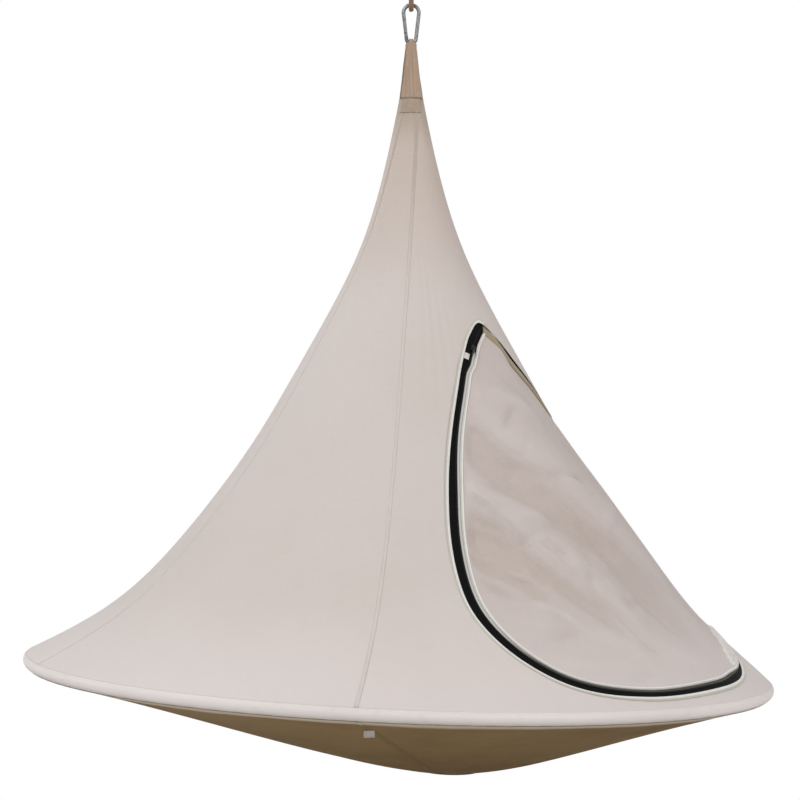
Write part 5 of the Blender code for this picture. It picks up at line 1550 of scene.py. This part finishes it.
def coil_finish():
    """Black nylon, painted paler on each tooth's crest as a highlight, worn in small spots."""
    finish = Finish("zip_coil_nylon", Specular_IOR_Level=0.12)
    tooth = finish.across_along()[0].ridges(tooth_pitch)
    worn = finish.noise(finish.place(), 200.0, 2.0)
    dark, pale = shade(0.003, 0.003, 0.003), shade(0.016, 0.016, 0.017)
    # Painted highlight: each tooth's crest is paler.
    finish.tone = finish.mix(tooth * 0.5 + worn * 0.3, dark, pale)
    return finish.done(0.42 + 0.25 * worn)


bindings = {
    "doorway_binding_tape": [(0.86, 0.85, 0.81), (0.46, 0.45, 0.39), binding_width, 0.0062],
    "door_binding_tape": [(0.84, 0.83, 0.80), (0.62, 0.60, 0.57), door_binding_width, 0.0022],
    # The door's hem is coloured tan throughout as painted shade.
    "door_hem_painted_shade": [(0.335, 0.265, 0.165), (0.30, 0.235, 0.14), hem_width, 0.0035],
    "door_gather_tape": [(0.80, 0.785, 0.75), (0.70, 0.67, 0.64), 0.10, 0.4],
}
piping, door_edge, hem_tan, gather_white = (
    binding_finish(name, shade(*pale), shade(*shaded), width, line)
    for name, (pale, shaded, width, line) in bindings.items()
)
zip_black = tape_finish(
    "zip_tape_black", shade(0.003, 0.003, 0.003), shade(0.009, 0.009, 0.009), gloss=0.04
)
door_tape = tape_finish(
    "zip_tape_grey",
    shade(0.50, 0.49, 0.46),
    shade(0.60, 0.59, 0.56),
    fade=(shade(0.070, 0.070, 0.050), 0.85, 1.05),
)
coil_black = coil_finish()
print("trim finishes ready")


# %% Where the door's edge hangs lower
slit_fade, sag_reach = 0.035, 0.045


def slit_sag(share, inward):
    """Metres that the door hangs in beside the slit: full along it, fading away from the edge."""
    share = np.asarray(share, float) % 1.0
    starting = np.clip((share - slit_start) / slit_fade, 0, 1)
    ending = np.clip((slit_end + 0.012 - share) / 0.020, 0, 1)
    return slit_depth * starting * ending * np.exp(-((np.asarray(inward, float) / sag_reach) ** 2))


gathers_from, gathers_to = 0.566, 0.676
gathers_low, gathers_high = 0.0330, 0.080


def fold_section(low, high, base, folds, height):
    """A section that is flat below and waved above, for soft folds that run along a strip."""
    t = np.linspace(0, 1, 10 * folds + 1)
    wave = base + height * (0.3 + 0.7 * np.sin(math.pi * folds * t) ** 2)
    above = [(low + (high - low) * a, b) for a, b in zip(t, wave)]
    under = base - 0.001
    return [(low, under), ((low + high) / 2, under), (high, under)] + above[::-1]


def gather_sink(share, inward):
    """Metres that the gathers lie lower: both of their ends go in under the door's cloth."""
    start = gathers_low + 0.001
    shown = smooth((share - gathers_from) / 0.034) * np.clip((gathers_to - share) / 0.060, 0, 1)
    narrowed = smooth((inward - start - 0.038 * shown) / 0.012)
    slope = 0.08 * np.maximum(inward - start, 0)
    return 0.010 * (1 - smooth(shown * 2.4)) + 0.012 * narrowed - slope


# %% Strips round the doorway
strips, door_strips = [], []


def lay(name, finish, body, slot, section, span, samples, *nodes, sag=None):
    """One strip along the edge. Those of the door are listed apart and get no body here."""
    strip = edge_band(name, *span, section, samples, sag)
    if body == "door":
        door_strips.append(strip)
    dress(strip, finish, "" if body == "door" else body, slot, *nodes)
    strips.append(strip)


def tape_section(start, width):
    """A flat tape just under the cloth's face."""
    return strip_section(start, start + width, -gap - tape_thickness, -gap + 0.0001, 0.7, 8, 9)


above_cloth = raised - binding_thickness
door_side = gap + tape_width + zip_gap
on_door = door_side + door_tape_width + gap
on_cloth = above_cloth + gap
hem_top = raised + hem_ease + 0.0009
closed_end = slider_at - 0.55 * slider_length / edge_length

section = strip_section(-binding_width, -gap, above_cloth, raised + 0.0006, 0.3, 3, 11)
span = piping_start, binding_end
node = "doorway_binding"
lay("doorway_binding_piping", piping, "tent", "white_binding", section, span, 700, node)

section, span = tape_section(gap, tape_width), (zip_start, tape_end)
lay("zip_tape_shell_woven", zip_black, "tent", "zip_black", section, span, 640, "zip_tape_shell")

section = tape_section(gap + tape_width + gap, closed_tape_width)
span = zip_start, closed_end
lay("zip_tape_closed_woven", zip_black, "tent", "zip_black", section, span, 60, "zip_tape_closed")

section, span = tape_section(door_side, door_tape_width), (open_start, tape_end)
lay("zip_tape_door_woven", door_tape, "door", "zip_black", section, span, 620, "zip_tape_door")

bound = on_door + door_binding_width
section = strip_section(on_door, bound, on_cloth, raised + 0.0008, 0.35, 3, 9)
span = zip_start, tape_end - 0.001
lay("door_binding_piping", door_edge, "door", "white_binding", section, span, 640, "door_binding")

section = strip_section(slit_width, slit_width + hem_width, on_cloth - 0.0035, hem_top, 0.5, 4, 11)
span = hem_start + 0.004, 0.9968
lay("door_hem_folded", hem_tan, "door", "hem_tan", section, span, 190, "door_hem", sag=slit_sag)

section = fold_section(gathers_low, gathers_high, 0.0026, 4, 0.0034)
span, sunk = (gathers_from, gathers_to), gather_sink
lay("door_corner_gathers", gather_white, "door", "white_binding", section, span, 110, sag=sunk)

section, span = strip_section(0.0005, 0.0130, 0.0001, 0.0011, 0.5, 6, 9), (0.0372, 0.0428)
lay("zip_tack_patch", tab_cloth, "tent", "white_binding", section, span, 16)
print("strips:", len(strips))


# %% Zip coils
coil_radius = 0.00115


def zip_coil(name, inset, start, end):
    """A round ridge whose radius beats once a tooth, carried along the edge."""
    count = int((end - start) * edge_length / tooth_pitch) * 4 + 1
    share = np.linspace(start, end, count)[:, None]
    angle = np.linspace(0, 2 * math.pi, 8, endpoint=False)[None, :]
    beat = np.tile([0.72, 1.0, 1.0, 0.72], count // 4 + 1)[:count][:, None]
    insets = inset + coil_radius * np.cos(angle) * beat
    lifts = 0.0002 + coil_radius * np.sin(angle) * beat
    points = edge_point(share, eased(share, insets), lifts)
    around = np.linspace(0, 2 * math.pi * coil_radius, 9)[None, :]
    return tube_piece(name, points, together(share * edge_length, around), sharp=60)


coil_end = zip_end - 0.012
coil = zip_coil("zip_coil_shell", gap + tape_width + 0.0003, zip_start + 0.001, coil_end)
dress(coil, coil_black, "tent", "zip_black")
coil = zip_coil("zip_coil_door", door_side - 0.0003, open_start + 0.001, coil_end)
dress(coil, coil_black, "", "zip_black")
door_strips.append(coil)
print("teeth on the shell's coil:", int((coil_end - zip_start) * edge_length / tooth_pitch))

# %% [markdown]
# ## Door sheet
# The door is a thin, slack sheet. It bulges a little and is full of creases: a few broad
# diagonal folds where it is pulled from corner to corner, many short sharp ones in its
# lower half, and small gathers at the lower right corner. Rings run from its edge to its
# middle. Each crease is a ridge with a place, a direction, a length and a width, and its
# depth is kept as a number on each point, for painted shade in the hollows and a painted
# highlight on the crests.

# %% Creases
door_bulge = 0.019
door_middle = 0.60
inset_step = 0.0236
half_door = 0.40
crease_seed, short_creases = 11, 110


def crease_field(x, y, creases):
    """Sum of ridges: each falls off across itself like a folded edge and fades out at its ends."""
    total = np.zeros(np.shape(x))
    for cx, cy, angle, length, width, height in creases:
        turn = math.radians(angle)
        along = (x - cx) * math.cos(turn) + (y - cy) * math.sin(turn)
        across = (y - cy) * math.cos(turn) - (x - cx) * math.sin(turn)
        bend = across + 0.06 * along**2 / length
        ridge = height * np.exp(1 - np.sqrt(1 + (bend / width) ** 2))
        total += ridge * np.exp(-((along / length) ** 4))
    return total


def door_creases():
    """Broad diagonal folds, then short ones strewn with a fixed seed, mostly low on the left."""
    broad = [
        (-0.40, -0.42, -50, 0.17, 0.018, -0.0100),
        (-0.40, -0.54, -46, 0.14, 0.015, -0.0110),
        (-0.38, -0.63, -42, 0.12, 0.012, -0.0080),
        (-0.26, -0.66, -58, 0.26, 0.016, -0.0105),
        (-0.30, -0.45, -54, 0.36, 0.034, 0.0110),
        (-0.12, -0.50, -56, 0.42, 0.036, -0.0120),
        (0.02, -0.50, -58, 0.40, 0.038, 0.0090),
        (-0.24, -0.20, -64, 0.24, 0.026, -0.0060),
        (-0.16, -0.86, -20, 0.26, 0.020, 0.0050),
        (0.16, -0.74, -40, 0.26, 0.026, -0.0050),
    ]
    dice = np.random.default_rng(crease_seed)
    short = []
    for _ in range(short_creases):
        cx = dice.normal(-0.27, 0.14)
        cy = dice.normal(-0.60, 0.20)
        angle = dice.choice([-58, -20, 28], p=[0.5, 0.3, 0.2]) + dice.normal(0, 14)
        length, width = dice.uniform(0.025, 0.085), dice.uniform(0.006, 0.013)
        height = dice.choice([-1, 1]) * dice.uniform(0.0016, 0.0056)
        short.append((cx, cy, angle, length, width, height))
    return broad + short


all_creases = door_creases()
print("creases:", len(all_creases))


# %% Door sheet
def door_inset(share):
    """Distance of the door's cloth from the edge: beyond the zip, at the hinge, behind the slit."""
    marks = [0.0, tape_end + 0.001, tape_end + 0.004, slit_start]
    marks += [hem_start - inset_step, slit_end, hem_end, 1.0]
    insets = [on_door, on_door, gap, gap, slit_width, slit_width, gap, on_door]
    return eased(share, np.interp(np.asarray(share, float) % 1.0, marks, insets))


def door_sheet():
    """Rings from the door's edge to its middle, bulged, creased, sagging at the slit."""
    count, rings = 500, 90
    share = np.interp(np.linspace(0, 5, count, endpoint=False), np.arange(6), corner_shares)
    marks = [0.0, slider_at, hem_start - hem_blend, hem_start - 0.4 * hem_blend]
    marks += [2 * slit_end - apex_cut, apex_cut, 1.0]
    narrow, wide = door_binding_width + webbing, hem_width + webbing
    widths = [apex_strip, narrow, narrow, wide, wide, apex_strip, apex_strip]
    edge = together(*edge_place(share, door_inset(share)))
    inner = together(*edge_place(share, door_inset(share) + np.interp(share, marks, widths)))
    cut = np.nonzero(share > apex_cut)[0]
    across = (np.arange(len(cut)) + 1)[:, None] / (len(cut) + 1)
    for ring in (edge, inner):
        ring[cut] = ring[cut[0] - 1] * (1 - across) + ring[0] * across
    middle = np.array([door_azimuth, doorway_top + door_middle * doorway_height])
    reach = np.linspace(1, 0.01, rings)[:, None, None]
    places = np.concatenate([edge[None], middle + (inner - middle) * reach])
    reach = np.r_[1.0, reach.ravel()][:, None]
    azimuth, drop = places[..., 0], places[..., 1]
    x = np.radians(azimuth - door_azimuth) * shell_radius(drop)
    slope = gore_map(azimuth, drop, door_azimuth)[..., 1]
    y = float(slope[0, 0]) - slope
    free = np.clip((1 - reach) / 0.07, 0, 1) ** 0.8
    creased = crease_field(x, y, all_creases) * free
    lift = door_bulge * (1 - reach**2) ** 1.5 + creased
    lift = lift - slit_sag(share[None, :], slit_width + (1 - reach) * half_door)
    gathers = bell(share[None, :], tape_end + 0.003, 0.03) * (1 - reach) * 9
    gathers = gathers * np.clip((reach - 0.72) / 0.28, 0, 1)
    lift = lift + 0.0035 * np.sin(share[None, :] * 620) * gathers
    points = shell_point(azimuth, drop, lift)
    spots = together(x, y)
    spots = np.concatenate([spots, spots[:, :1]], axis=1)
    number = numbered(rings + 1, count, ring=True)
    cap = (number[-1, :-1], spots[-1, :-1])
    corners, away = corners_of(number), shell_normal(azimuth, drop)
    obj = mesh_piece("door_sheet_crinkled", points, corners, corners_of(spots), away, [cap])
    # Fold depth on each point: the finish paints shade into the hollows and a highlight onto the
    # crests.
    depth = np.zeros(len(obj.data.vertices))
    depth[: creased.size] = np.clip(0.5 - creased.ravel() / 0.012, 0, 1)
    obj.data.attributes.new("fold_depth", "FLOAT", "POINT").data.foreach_set("value", depth)
    wall(obj, cloth)
    width, length = float(np.ptp(x)), float(np.ptp(y))
    area = min(cloth_area(points, corners), width * length)
    print(f"door sheet: cut {width:.2f} by {length:.2f} m, {area:.3f} square metres")
    return obj, (width, length), area


door_pale, door_warm = shade(0.555, 0.485, 0.462), shade(0.535, 0.460, 0.428)
door_cloth = canvas_finish("door_cloth_crinkled", door_pale, door_warm, 0.0006, crinkle=0.0018)
door, door_flat, door_area = door_sheet()
dress(door, door_cloth, "", "door_cloth", "door_sheet")

# %% [markdown]
# The door swings about a line at its right side, where its cloth is sewn to the shell.
# A cloth hinge has no pin. The hinge line and the direction into the door are found, and
# the door's pieces have their placement baked into their points.

# %% Hinge line, and door pieces baked in place
hinge = next(joint for joint in frame["joints"] if joint["name"] == "door_swing")
hinge_at, hinge_axis = np.array(hinge["pos_m"]), np.array(hinge["axis"])
door_centre = shell_point(door_azimuth, doorway_top + door_middle * doorway_height)
into_door = door_centre - hinge_at
into_door -= hinge_axis * float(into_door @ hinge_axis)
into_door /= np.linalg.norm(into_door)
for piece in [door] + door_strips:
    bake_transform(piece)
print("door pieces:", 1 + len(door_strips))

# %% [markdown]
# ## Metal
# The hook with its gate, the ceiling parts and the pull ring are galvanised steel: a dull
# zinc skin with pale and dark crystals, fine scratches and dirt. The slider, its puller
# and the zip's stops are black-lacquered zinc, rubbed thin in small spots. The washer in
# the swivel is nylon. Their solids have the right shapes already, so they only get skins.


# %% Metal finishes
def galvanised_finish():
    """Zinc crystals as cells of different greys, fine scratches and dark dirt in broad patches."""
    finish = Finish("galvanised_steel_skin", Metallic=0.85, Specular_Tint=shade(0.35, 0.35, 0.36))
    place = finish.place()
    sockets = {"Vector": place, "Scale": 420.0}
    cells = finish.node("ShaderNodeTexVoronoi", {"feature": "F1"}, sockets, out=1)
    grey = finish.node("ShaderNodeRGBToBW", {}, {0: cells})
    scratch = finish.noise(place, 900.0, 3.0, 0.7, 0.4)
    dirt = finish.noise(place, 75.0, 4.0, 0.6, 0.6)
    finish.tone = finish.mix(grey, shade(0.11, 0.112, 0.116), shade(0.26, 0.262, 0.265))
    finish.coat(finish.soft_step(dirt, 0.50, 0.66) * 0.8, shade(0.055, 0.055, 0.06))
    finish.coat(finish.soft_step(scratch, 0.62, 0.75) * 0.4, shade(0.62, 0.63, 0.64))
    return finish.done(0.30 + 0.25 * grey, finish.bump(dirt * 0.7 + scratch * 0.3, 0.0006, 0.7))


def lacquer_finish():
    """Black lacquer with soft mottling, rubbed thin to grey metal in small spots."""
    finish = Finish("zip_metal_lacquered", Specular_IOR_Level=0.2)
    place = finish.place()
    worn = finish.soft_step(finish.noise(place, 420.0, 4.0, 0.65), 0.60, 0.72)
    mottle = finish.noise(place, 90.0, 3.0)
    finish.tone = finish.mix(mottle, shade(0.004, 0.004, 0.005), shade(0.016, 0.016, 0.018))
    finish.coat(worn * 0.3, shade(0.25, 0.25, 0.26))
    finish.into("Metallic", 0.5 * worn)
    return finish.done(0.28 + 0.2 * mottle, finish.bump(mottle, 0.0001, 0.5))


def nylon_finish():
    """White nylon, faintly cloudy, with fine turning marks."""
    finish = Finish("nylon_turned", Specular_IOR_Level=0.45)
    place = finish.place()
    haze, marks = finish.noise(place, 150.0, 3.0), finish.noise(place, 1200.0, 2.0)
    finish.tone = finish.mix(haze, shade(0.74, 0.74, 0.71), shade(0.62, 0.61, 0.57))
    return finish.done(0.4 + 0.2 * haze, finish.bump(marks, 0.00005, 0.4))


galvanised = ["ceiling_plate", "swivel_housing", "swivel_eye", "snap_hook_body"]
galvanised += ["snap_hook_gate", "gate_pin", "gate_spring", "pull_ring"]
lacquered = ["zip_top_stop", "zip_end_stop", "zip_slider", "zip_puller"]
skins = [
    (galvanised_finish(), galvanised),
    (lacquer_finish(), lacquered),
    (nylon_finish(), ["swivel_washer"]),
]
for skin, node_names in skins:
    for node_name in node_names:
        for material_slot in frame["nodes"][node_name].material_slots:
            material_slot.material = skin
    print(skin.name, "on", len(node_names), "solids")

# %% [markdown]
# ## Studio
# A pale floor, soft lamps and a white surround. The camera and mirror-like reflections
# see the surround as white; the light that it gives to the cloth is weaker, so the cloth
# keeps its shading and stays clear of pure white.

# %% Surround
def seen_directly(tree):
    """1 for rays of the camera and of mirror-like or clear surfaces, 0 for all other light."""
    ray = tree.nodes.new("ShaderNodeLightPath")
    names = "Is Camera Ray", "Is Glossy Ray", "Is Transmission Ray"
    camera, glossy, clear = (Wire(tree, ray.outputs[name]) for name in names)
    return camera.most(glossy).most(clear)


world = bpy.data.worlds.new("studio_surround")
bpy.context.scene.world = world
world.use_nodes = True
world_tree = world.node_tree
world_tree.nodes.clear()
either = world_tree.nodes.new("ShaderNodeMixShader")
plug(world_tree, either.inputs[0], seen_directly(world_tree))
for number, colour, strength in ((1, (0.96, 0.98, 1.0), 0.42), (2, (1.0, 1.0, 1.0), 1.0)):
    sky = world_tree.nodes.new("ShaderNodeBackground")
    sky.inputs["Color"].default_value = shade(*colour)
    sky.inputs["Strength"].default_value = strength
    plug(world_tree, either.inputs[number], Wire(world_tree, sky.outputs[0]))
surround_out = world_tree.nodes.new("ShaderNodeOutputWorld")
plug(world_tree, surround_out.inputs[0], Wire(world_tree, either.outputs[0]))

# %% Floor of the studio
studio_floor_z = -2.36
pool_inner, pool_outer = 1.25, 1.95
floor_half, floor_lines = 20, 9
steps = np.linspace(-floor_half, floor_half, floor_lines)
points = together(*np.meshgrid(steps, steps), studio_floor_z)
spots = points[..., :2].copy()
corners = corners_of(numbered(floor_lines, floor_lines))
floor = mesh_piece("studio_floor", points, corners, corners_of(spots), (0, 0, 1))
ground = Finish("studio_floor_paint", Roughness=0.9)
place = ground.place()
spot = ground.node("ShaderNodeVectorMath", {"operation": "LENGTH"}, {0: place}, out=1)
flat_distance = (spot * spot - studio_floor_z**2).most(0.0) ** 0.5
grain = ground.noise(place, 6.0, 3.0)
ground.into("Base Color", ground.mix(grain * 0.3, shade(0.80, 0.80, 0.79), shade(0.74, 0.74, 0.73)))
far = ground.soft_step(flat_distance, pool_inner, pool_outer) * seen_directly(ground.tree)
glow = ground.node("ShaderNodeEmission", {}, {"Color": shade(1.0, 1.0, 1.0), "Strength": 1.0})
paint = Wire(ground.tree, ground.shader.outputs[0])
both = ground.node("ShaderNodeMixShader", {}, {0: far, 1: paint, 2: glow})
output = next(n for n in ground.tree.nodes if n.type == "OUTPUT_MATERIAL")
plug(ground.tree, output.inputs["Surface"], both)
floor.data.materials.append(ground.material)


# %% Lamps
def soft_lamp(name, place, aim, size, power, colour):
    """A square lamp at a place, turned to look at a point."""
    lamp = bpy.data.lights.new(name, "AREA")
    lamp.shape, lamp.size, lamp.energy, lamp.color = "SQUARE", size, power, colour
    obj = bpy.data.objects.new(name, lamp)
    look = np.array(aim, float) - np.array(place, float)
    flat = math.hypot(look[0], look[1])
    obj.location = place
    obj.rotation_euler = (math.atan2(flat, -look[2]), 0, math.atan2(-look[0], look[1]))
    bpy.context.scene.collection.objects.link(obj)


tent_middle = (0, 0, -1.25)
soft_lamp("key_lamp", (-2.9, -3.7, 2.7), tent_middle, 2.6, 154, (1.0, 0.99, 0.975))
soft_lamp("fill_lamp", (4.2, -2.8, 1.6), tent_middle, 3.0, 110, (1.0, 0.955, 0.925))
soft_lamp("back_lamp", (-3.8, 1.6, 2.4), tent_middle, 2.4, 74, (0.95, 0.97, 1.0))
bpy.context.scene.view_settings.view_transform = "Standard"
print("lamps lit")

# %% [markdown]
# ## Finish
# The cloth may stand a little proud of the solids.

# %% Finish
import json
